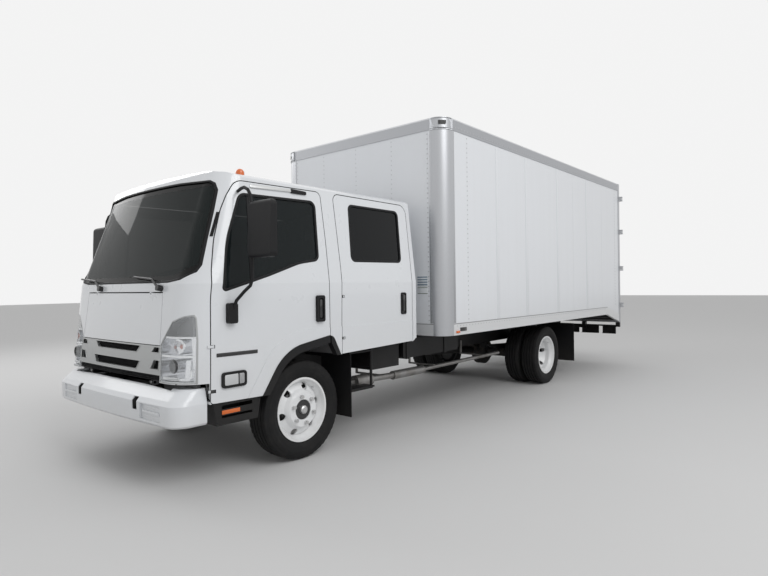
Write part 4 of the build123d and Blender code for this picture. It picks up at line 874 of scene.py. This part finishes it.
def tyre(name, x, station):
    """One tyre with its lateral shoulder cuts, standing at x and station."""
    centre = spot(x, station, 403.5)
    piece = turned(name, tyre_profile, centre, (1, 0, 0), tyre_steps)
    bpy.ops.object.mode_set(mode="OBJECT")
    for vertex in piece.data.vertices:
        arm = vertex.co - centre
        offset = abs(arm.x) * 1000.0
        radius = math.hypot(arm.y, arm.z) * 1000.0
        step = round(math.atan2(arm.z, arm.y) / (2 * math.pi) * tyre_steps) % tyre_steps
        if 80.0 < offset < 103.0 and radius > 380.0 and step % 3 == (0 if arm.x > 0 else 1):
            shrink = (radius - 3.5) / radius
            vertex.co.y = centre.y + arm.y * shrink
            vertex.co.z = centre.z + arm.z * shrink
        elif 20.0 < offset < 60.0 and radius > 399.0 and step % 5 == 0 and (30.0 < offset):
            shrink = (radius - 2.5) / radius
            vertex.co.y = centre.y + arm.y * shrink
            vertex.co.z = centre.z + arm.z * shrink
    return piece


for side, word in ((1, "left"), (-1, "right")):
    front = tyre(f"front_tyre_tread_{word}", side * 845.0, 1107.0)
    done(front, tyre_rubber, f"wheel_front_{word}", 28.0)
    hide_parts(f"front_tyre_{word}")
    inner = tyre(f"rear_tyre_inner_{word}", side * 697.0, 5577.0)
    outer = tyre(f"rear_tyre_treads_{word}", side * 955.0, 5577.0)
    bpy.ops.object.select_all(action="DESELECT")
    inner.select_set(True)
    outer.select_set(True)
    bpy.context.view_layer.objects.active = outer
    bpy.ops.object.join()
    done(outer, tyre_rubber, f"wheels_rear_{word}", 28.0)
    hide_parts(f"rear_tyres_{word}")

# Wheels: steel discs in white paint, bolted with bright nuts to a black hub
# and brake drum, with a bright pressed cap in the front hub's bore. Inboard of
# the disc, the rims and the whole inner rear wheels are painted black as painted shade.


def disc_finish(name, middle, station, drum_nut_and_shade_limits, bore, cap, cap_out):
    """White wheel paint with the drum, bore, cap and nuts told apart by place, and black painted shade
    inboard of the disc.
    """
    finish = Finish(name, (0.8, 0.81, 0.82), 0.35, Coat_Weight=0.3)
    x, y, z = finish.place()
    out = x.size() - middle
    up = z - 0.4035
    back = y - (station - mid_station) / 1000.0
    radius = (up * up + back * back) ** 0.5
    angle = finish.node("ShaderNodeMath", {"operation": "ARCTAN2"}, {0: up, 1: back})
    sector = ((angle / (math.pi / 3) - 0.2 + 12.0).fraction() - 0.5).size() * (math.pi / 3)
    nut_zone = (sector * radius < 0.0162) * ((radius - 0.111).size() < 0.0175) * (out > drum_nut_and_shade_limits[2])
    # The drum is black, and everything inboard of the last plane is painted black as painted shade.
    drum_and_inboard_shade = ((radius < drum_nut_and_shade_limits[0]) * (out < drum_nut_and_shade_limits[1])).most(out < drum_nut_and_shade_limits[3])
    hole = (radius < bore) * (1.0 - nut_zone)
    bright = (radius < cap) * (out > cap_out)
    grime = finish.noise(16.0, 5.0) * ((radius - 0.13) * 9.0).clamped() * 0.3
    white = finish.between((0.8, 0.81, 0.82), (0.5, 0.48, 0.45), grime)
    black = finish.between(white, (0.02, 0.02, 0.021), drum_and_inboard_shade.most(hole))
    finish.feed(
        Base_Color=finish.between(black, (0.6, 0.6, 0.6), bright.most(nut_zone)),
        Metallic=bright.most(nut_zone) * 0.9,
        Roughness=0.3 + drum_and_inboard_shade * 0.3 + finish.noise(50.0) * 0.1,
    )
    finish.bump(finish.noise(200.0), 0.0003, 0.3)
    return finish


front_disc_finish = disc_finish("front_wheel_paint", 0.845, 1107.0, (0.172, 0.042, 0.0985, 0.012), 0.081,
                                0.037, 0.095)
rear_disc_finish = disc_finish("rear_wheel_paint", 0.826, 5577.0, (0.195, -0.008, 0.026, 0.009), 0.079, 0.0,
                               0.2)
dress(front_disc_finish, "front_wheel_left", "front_wheel_right")
dress(rear_disc_finish, "rear_wheels_left", "rear_wheels_right")
for side, word in ((1, "left"), (-1, "right")):
    for body, x, station in ((f"wheel_front_{word}", 845.0, 1107.0), (f"wheels_rear_{word}", 955.0, 5577.0)):
        out = 72.0 if "front" in body else 62.0
        stem = turned(f"valve_stem_{body}",
                      [(0, 0), (0, 5), (18, 5), (20, 3.4), (38, 3.2), (40, 5), (52, 5), (54, 0)],
                      spot(side * (x + out - 56.0), station + 150.0, 403.5 + 168.0), (side, -0.1, -0.25), 12)
        done(stem, chrome, body)

# Box sheets: pre-painted white aluminium sheet on the sides, the front wall and
# the rear leaves, joined by flat strips with a row of rivets on each edge.

box_white = Finish("box_white", (0.78, 0.79, 0.81), 0.38, "box_white", Coat_Weight=0.25, Coat_Roughness=0.12)
x, y, z = box_white.place()
rain = box_white.noise(2.2, 6.0, 0.6, (1.0, 6.0, 0.18))
grime = (((rain - 0.42) * 2.0).clamped() * 0.13
         + box_white.noise(5.0, 5.0) * ((1.25 - z) * 1.6).clamped() * 0.55)
box_white.feed(
    Base_Color=box_white.between((0.75, 0.77, 0.80), (0.60, 0.60, 0.59), grime),
    Roughness=0.32 + grime * 0.3,
)
box_white.bump(box_white.noise(0.9, 1.0) * 3.0 + box_white.noise(4.0, 1.0) * 0.3
               + box_white.noise(90.0) * 0.02, 0.012, 0.3)
dress(box_white, "box_walls", "cargo_door_left", "cargo_door_right")

# Box frame: extruded aluminium posts, rails and door frame, mill finished, with
# the grain drawn along each bar, and the roof sheet in the same metal.

box_metal = Finish("box_metal", (0.62, 0.63, 0.65), 0.36, "box_alu", Metallic=0.8)
grain = box_metal.noise(34.0, 4.0, 0.6, (30.0, 30.0, 1.0))
box_metal.feed(
    Base_Color=box_metal.between((0.42, 0.43, 0.45), (0.56, 0.57, 0.59), grain),
    Roughness=0.30 + grain * 0.16,
)
box_metal.bump(grain, 0.0004, 0.3)
dress(box_metal, "box_corner_posts", "rear_door_frame")
rail_metal = Finish("rail_metal", (0.62, 0.63, 0.65), 0.36, "box_alu", Metallic=0.8)
grain = rail_metal.noise(34.0, 4.0, 0.6, (30.0, 1.0, 30.0))
low_rail = rail_metal.place()[2] < 1.2
# Painted shade: a dark band along the bottom rail's upper lip.
lip_shade_line = (rail_metal.place()[2] - 1.003).size() < 0.006
shade = rail_metal.between(rail_metal.between((0.36, 0.37, 0.39), (0.48, 0.49, 0.51), grain),
                           (0.70, 0.71, 0.72), low_rail)
rail_metal.feed(
    Base_Color=rail_metal.between(shade, (0.30, 0.30, 0.31), lip_shade_line),
    Metallic=0.8 - low_rail * 0.5,
    Roughness=0.32 + grain * 0.16,
)
rail_metal.bump(grain, 0.0004, 0.3)
dress(rail_metal, "box_rails")
roof_metal = Finish("roof_metal", (0.66, 0.67, 0.69), 0.42, Metallic=0.55)
stain = roof_metal.noise(2.6, 6.0, 0.6)
roof_metal.feed(
    Base_Color=roof_metal.between((0.68, 0.69, 0.71), (0.52, 0.52, 0.51), (stain - 0.4).clamped()),
    Roughness=0.36 + stain * 0.2,
)
roof_metal.bump(stain + roof_metal.noise(70.0) * 0.05, 0.004, 0.3)
dress(roof_metal, "box_roof")

# Box floor: hardwood boards, tongued together and varnished, resting on steel
# cross bearers.

floor_boards = Finish("floor_boards", (0.2, 0.15, 0.1), 0.6)
x, y, z = floor_boards.place()
board = (x * 8.0).fraction()
joint = ((board - 0.5).size() > 0.48)
grain = floor_boards.noise(14.0, 6.0, 0.6, (12.0, 1.0, 12.0))
wood = floor_boards.between(floor_boards.between((0.30, 0.19, 0.10), (0.14, 0.085, 0.045), grain),
                            (0.02, 0.015, 0.01), joint)
bearers = z + (y - 3.481).clamped() * 0.246 < 0.985
floor_boards.feed(
    Base_Color=floor_boards.between(wood, (0.016, 0.016, 0.017), bearers),
    Roughness=0.5 + grain * 0.25,
)
floor_boards.bump(grain * 0.4 - joint, 0.002, 0.5)
dress(floor_boards, "box_floor")


def on_wall(side):
    """A function for points out from the box's side sheet at a station and height."""

    def place(station, z, out):
        return spot(side * (1214.0 + out), station, z)

    return place


def on_box_front(x, z, out):
    """A point out from the box's front sheet."""
    return spot(x, 2795.0 - out, z)


def on_box_back(x, z, out):
    """A point out from the rear leaves' outer face."""
    return spot(x, 8276.0 + out, z)


rivet_metal = Finish("rivet_metal", (0.52, 0.53, 0.545), 0.4, "box_alu", Metallic=0.4)
rivet_metal.feed(Roughness=0.35 + rivet_metal.noise(120.0) * 0.15)


def rivets(name, first, runs, surface, finish, body, radius=7.5, height=3.2):
    """Rows of low domed rivet heads; runs are (count, step along, step up)."""
    corners = [(first[0] + radius * math.cos(k * math.pi / 4), first[1] + radius * math.sin(k * math.pi / 4))
               for k in range(8)]
    piece = laid(name, corners, surface, 0.2, height, bevel=radius * 0.3, longest=60.0, repeat=runs)
    return done(piece, finish, body, 60.0)


# Joint strips: flat aluminium strips in white over the seams between sheets,
# each held by two rows of rivets.

strip_stations = [3902.0, 4655.0, 5620.0, 6723.0]
for side, word in ((1, "left"), (-1, "right")):
    wall = on_wall(side)
    for k, station in enumerate(strip_stations):
        strip = laid(f"joint_strip_{word}_{k}", oblong(station - 34, 1012, station + 34, 3006), wall, 0.2,
                     2.4, bevel=0.8, longest=2000.0)
        done(strip, box_white, "chassis")
        rivets(f"joint_rivets_{word}_{k}", (station - 23, 1040), [(2, 46.0, 0.0), (39, 0.0, 51.0)],
               lambda a, b, out, wall=wall: wall(a, b, out + 2.2), box_white, "chassis")
    rivets(f"stud_rivets_front_{word}", (3242, 1040), [(39, 0.0, 51.0)], wall, rivet_metal, "chassis")
    rivets(f"stud_rivets_back_{word}", (8020, 1040), [(39, 0.0, 51.0)], wall, rivet_metal, "chassis")
    rivets(f"stud_rivets_mid_{word}", (6172, 1040), [(39, 0.0, 51.0)], wall, box_white, "chassis", radius=6.0)
    rivets(f"stud_rivets_late_{word}", (7372, 1040), [(39, 0.0, 51.0)], wall, box_white, "chassis",
           radius=6.0)
rivets("front_wall_rivets", (-1012, 1040), [(2, 2024.0, 0.0), (39, 0.0, 51.0)], on_box_front, rivet_metal,
       "chassis")
rivets("front_wall_stud_rivets", (-530, 1040), [(3, 530.0, 0.0), (39, 0.0, 51.0)], on_box_front,
       rivet_metal, "chassis", radius=6.0)

# Corner post edges: a folded cover strip each side of the rounded post, held by
# close rivets, and a cast cap on top.

for side, word in ((1, "left"), (-1, "right")):
    wall = on_wall(side)
    cover = laid(f"post_cover_side_{word}", oblong(2943, 1012, 2987, 3010), wall, 0.2, 4.6,
                 bevel=1.0, longest=2000.0)
    done(cover, box_metal, "chassis")
    rivets(f"post_rivets_side_{word}", (2972, 1036), [(49, 0.0, 40.0)],
           lambda a, b, out, wall=wall: wall(a, b, min(out + 4.6, 7.4)), rivet_metal, "chassis", radius=6.0)
    rivets(f"post_rivets_front_{word}", (side * 1048, 1036), [(49, 0.0, 40.0)],
           lambda a, b, out: on_box_front(a, b, out + 4.4), rivet_metal, "chassis", radius=6.0)
    cover = laid(f"post_cover_front_{word}", oblong(side * 1030, 1012, side * 1066, 3010)[::side],
                 on_box_front, 0.2, 4.6, bevel=1.0, longest=2000.0)
    done(cover, box_metal, "chassis")
    rivets(f"rail_rivets_top_{word}", (3010, 3050), [(86, 60.0, 0.0)],
           lambda a, b, out, side=side: spot(side * (1218.8 + out), a, b), rivet_metal, "chassis", radius=6.0)
    rivets(f"rail_rivets_low_{word}", (3010, 978), [(76, 60.0, 0.0)],
           lambda a, b, out, side=side: spot(side * (1218.8 + out), a, b), rivet_metal, "chassis", radius=6.0)

# Corner castings: a cast aluminium cap over the top of each front post, with a
# black plate laid over its slot as painted shade, and a pressed seam ring below it.


def on_post(side):
    """A function for points out from the rounded front post, at an arc angle and height."""

    def place(angle, z, out):
        turn = math.radians(angle)
        reach = 152.0 + out
        return spot(side * (1067.0 + reach * math.sin(turn)), 2942.0 - reach * math.cos(turn), z)

    return place


for side, word in ((1, "left"), (-1, "right")):
    post = on_post(side)
    cap = laid(f"post_cap_{word}", oblong(-4, 3022, 94, 3130), post, 0.3, 9.0, bevel=1.2, longest=6.0)
    done(cap, rail_metal, "chassis")
    # A black plate laid on the cap stands in for the slot's opening as painted shade.
    hole = laid(f"post_cap_slot_shade_{word}", oblong(30, 3062, 60, 3100, 3), post, 8.0, 9.6, longest=6.0)
    done(hole, black_metal, "chassis")
    seam = laid(f"post_seam_{word}", oblong(-4, 3008, 94, 3020), post, 0.3, 5.0, bevel=1.0, longest=6.0)
    done(seam, box_metal, "chassis")

# Rear leaves: white sheet in aluminium edging with black rubber seals between
# the leaves and all round, and galvanised lock rods and hinges.

leaf_finish = Finish("leaf_finish", (0.78, 0.79, 0.81), 0.38, "box_white", Coat_Weight=0.2)
x, y, z = leaf_finish.place()
edging = ((x.size() < 0.035).most(x.size() > 1.098)).most((z < 0.882).most(z > 2.948))
hardware = y > 4.1535
rain = leaf_finish.noise(2.2, 6.0, 0.6, (6.0, 1.0, 0.18))
metal = edging.most(hardware)
leaf_finish.feed(
    Base_Color=leaf_finish.between(leaf_finish.between((0.78, 0.79, 0.812), (0.64, 0.635, 0.62),
                                                       (rain - 0.42).clamped()),
                                   (0.58, 0.59, 0.60), metal),
    Metallic=metal * 0.8,
    Roughness=0.34 + leaf_finish.noise(60.0) * 0.1,
)
leaf_finish.bump(leaf_finish.noise(1.1, 1.0) + leaf_finish.noise(120.0) * 0.02, 0.006, 0.25)
dress(leaf_finish, "cargo_door_left", "cargo_door_right")
for side, word in ((1, "left"), (-1, "right")):
    seal = laid(f"leaf_seal_{word}", oblong(side * 8, 851, side * 1126, 2979, 6)[::side], on_box_back, -1.0,
                2.5, ring=10.0, bevel=1.0, longest=3000.0)
    done(seal, rubber_black, f"cargo_leaf_{word}")
    rivets(f"leaf_rivets_{word}", (side * 60, 900), [(2, side * 1010.0, 0.0), (38, 0.0, 54.0)], on_box_back,
           leaf_finish, f"cargo_leaf_{word}", radius=6.0)

# Lamps of the box: red and amber lenses in black rubber rings, low on the front
# corner, on the rear sill and over the doors.

red_lens = Finish("red_lens", (0.42, 0.008, 0.008), 0.15, "red_lens", Coat_Weight=0.8)
x, y, z = red_lens.place()
reverse = ((x.size() - 0.82).size() < 0.055) * (z < 1.5)
turn_lamp = ((x.size() - 0.95).size() < 0.055) * (z < 1.5)
rings = red_lens.node("ShaderNodeTexWave", {"wave_type": "BANDS", "bands_direction": "Z"}, {
    "Vector": red_lens.node("ShaderNodeTexCoord", out="Object"), "Scale": 60.0}, out=1)
red_lens.feed(
    Base_Color=red_lens.between(red_lens.between((0.42, 0.008, 0.008), (0.75, 0.2, 0.01), turn_lamp),
                                (0.75, 0.76, 0.77), reverse),
    Roughness=0.1 + rings * 0.15,
)
red_lens.bump(rings, 0.002, 0.6)
dress(red_lens, "tail_lamps")
amber_lens = Finish("amber_lens", (0.75, 0.16, 0.01), 0.15, "amber_lens", Coat_Weight=0.8)
flute = ((amber_lens.place()[2] * 160.0).fraction() - 0.5).size()
amber_lens.feed(Base_Color=amber_lens.between((0.62, 0.10, 0.005), (0.85, 0.22, 0.015), flute),
                Roughness=0.08 + flute * 0.1)
amber_lens.bump(flute, 0.0015, 0.6)
dress(amber_lens, "roof_marker_lamps")
for side, word in ((1, "left"), (-1, "right")):
    marker = laid(f"box_marker_{word}", oblong(2985, 903, 3045, 927, 5),
                  lambda a, b, out, side=side: spot(side * (1219.0 + out), a, b), 0.2, 12.0, bevel=3.0)
    done(marker, amber_lens, "chassis")
    blank = laid(f"box_marker_blank_{word}", oblong(3062, 918, 3186, 958, 5),
                 lambda a, b, out, side=side: spot(side * (1219.0 + out), a, b), 0.2, 5.0, bevel=1.5)
    done(blank, black_gloss, "chassis")
    for k, x in enumerate((820, 950, 1080)):
        ring = turned(f"tail_lamp_ring_{word}_{k}", [(0, 50.5), (0, 60), (10, 59), (13, 56), (13, 50.5)],
                      spot(side * x, 8276.3, 778), (0, 1, 0), 32)
        done(ring, rubber_black, "chassis")
    bar = laid(f"step_bar_{word}", oblong(288, 508, 572, 552, 4),
               lambda a, b, out, side=side: spot(side * (1000.0 + out), a, b), -8.0, 1.2, bevel=1.0)
    done(bar, grained_plastic, "cab")
    reflector = laid(f"step_reflector_{word}", oblong(300, 516, 450, 544, 4),
                     lambda a, b, out, side=side: spot(side * (1001.0 + out), a, b), 0.2, 4.0, bevel=1.0)
    done(reflector, amber_lens, "cab")

# Front wall plates: a blank striped data label and a blank white tag on the
# box's front sheet, beside the left post, and none of them lettered.

label_finish = Finish("label_finish", (0.5, 0.55, 0.6), 0.4, "box_white")
x, y, z = label_finish.place()
stripe = ((z * 38.0).fraction() > 0.45) * (z > 1.40)
edge = ((z - 1.352).size() > 0.028) * (z < 1.40)
label_finish.feed(
    Base_Color=label_finish.between(label_finish.between((0.72, 0.74, 0.76), (0.20, 0.26, 0.32), stripe),
                                    (0.10, 0.14, 0.07), edge),
    Roughness=0.35 + label_finish.noise(60.0) * 0.1,
)
label = laid("front_wall_label", oblong(866, 1398, 994, 1508, 4), on_box_front, 0.2, 1.4, bevel=0.4)
done(label, label_finish, "chassis")
tag = laid("front_wall_tag", oblong(866, 1318, 994, 1386, 4), on_box_front,
           0.2, 1.2, bevel=0.3)
done(tag, label_finish, "chassis")

# Studio: a pale floor, a soft overhead light and a camera at the photograph's
# place, height and angle.

bpy.ops.mesh.primitive_plane_add(size=120.0, location=(0.0, 0.0, 0.0))
floor = bpy.context.object
floor.name = "studio_floor"
floor_finish = Finish("studio_floor", (0.62, 0.62, 0.62), 0.9)
floor_finish.feed(Roughness=0.85 + floor_finish.noise(3.0) * 0.1)
floor.data.materials.append(floor_finish.material)
floor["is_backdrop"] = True

scene = bpy.context.scene
world = bpy.data.worlds.new("studio")
scene.world = world
world.use_nodes = True
sky = world.node_tree
background = sky.nodes["Background"]
rays = sky.nodes.new("ShaderNodeLightPath")
seen = sky.nodes.new("ShaderNodeMath")
seen.operation = "MAXIMUM"
direct = sky.nodes.new("ShaderNodeMath")
direct.operation = "MAXIMUM"
sky.links.new(rays.outputs["Is Camera Ray"], seen.inputs[0])
sky.links.new(rays.outputs["Is Glossy Ray"], seen.inputs[1])
sky.links.new(seen.outputs[0], direct.inputs[0])
sky.links.new(rays.outputs["Is Transmission Ray"], direct.inputs[1])
level = sky.nodes.new("ShaderNodeMapRange")
sky.links.new(direct.outputs[0], level.inputs[0])
level.inputs["To Min"].default_value = 0.65
level.inputs["To Max"].default_value = 0.9
sky.links.new(level.outputs[0], background.inputs["Strength"])
background.inputs["Color"].default_value = (1.0, 1.0, 1.0, 1.0)

for name, place, size, power in (("key", (9.0, -3.5, 8.0), 6.0, 400.0),
                                 ("fill", (-8.0, -3.0, 7.0), 6.0, 200.0)):
    lamp = bpy.data.lights.new(name, "AREA")
    lamp.size = size
    lamp.energy = power
    holder = bpy.data.objects.new(name, lamp)
    scene.collection.objects.link(holder)
    holder.location = place
    holder.rotation_euler = (Vector((0, 0, 1.2)) - Vector(place)).to_track_quat("-Z", "Y").to_euler()

camera = bpy.data.objects.new("camera", bpy.data.cameras.new("camera"))
scene.collection.objects.link(camera)
scene.camera = camera
camera.data.sensor_width = 36.0
camera.data.lens = 26.36
turn = (Matrix.Rotation(math.radians(40.15), 4, "Z") @ Matrix.Rotation(math.radians(90.0 - 0.21), 4, "X")
        @ Matrix.Rotation(math.radians(-0.76), 4, "Z"))
camera.matrix_world = Matrix.Translation((4.4256, -6.1009, 1.4064)) @ turn
scene.view_settings.view_transform = "Standard"

low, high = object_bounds()
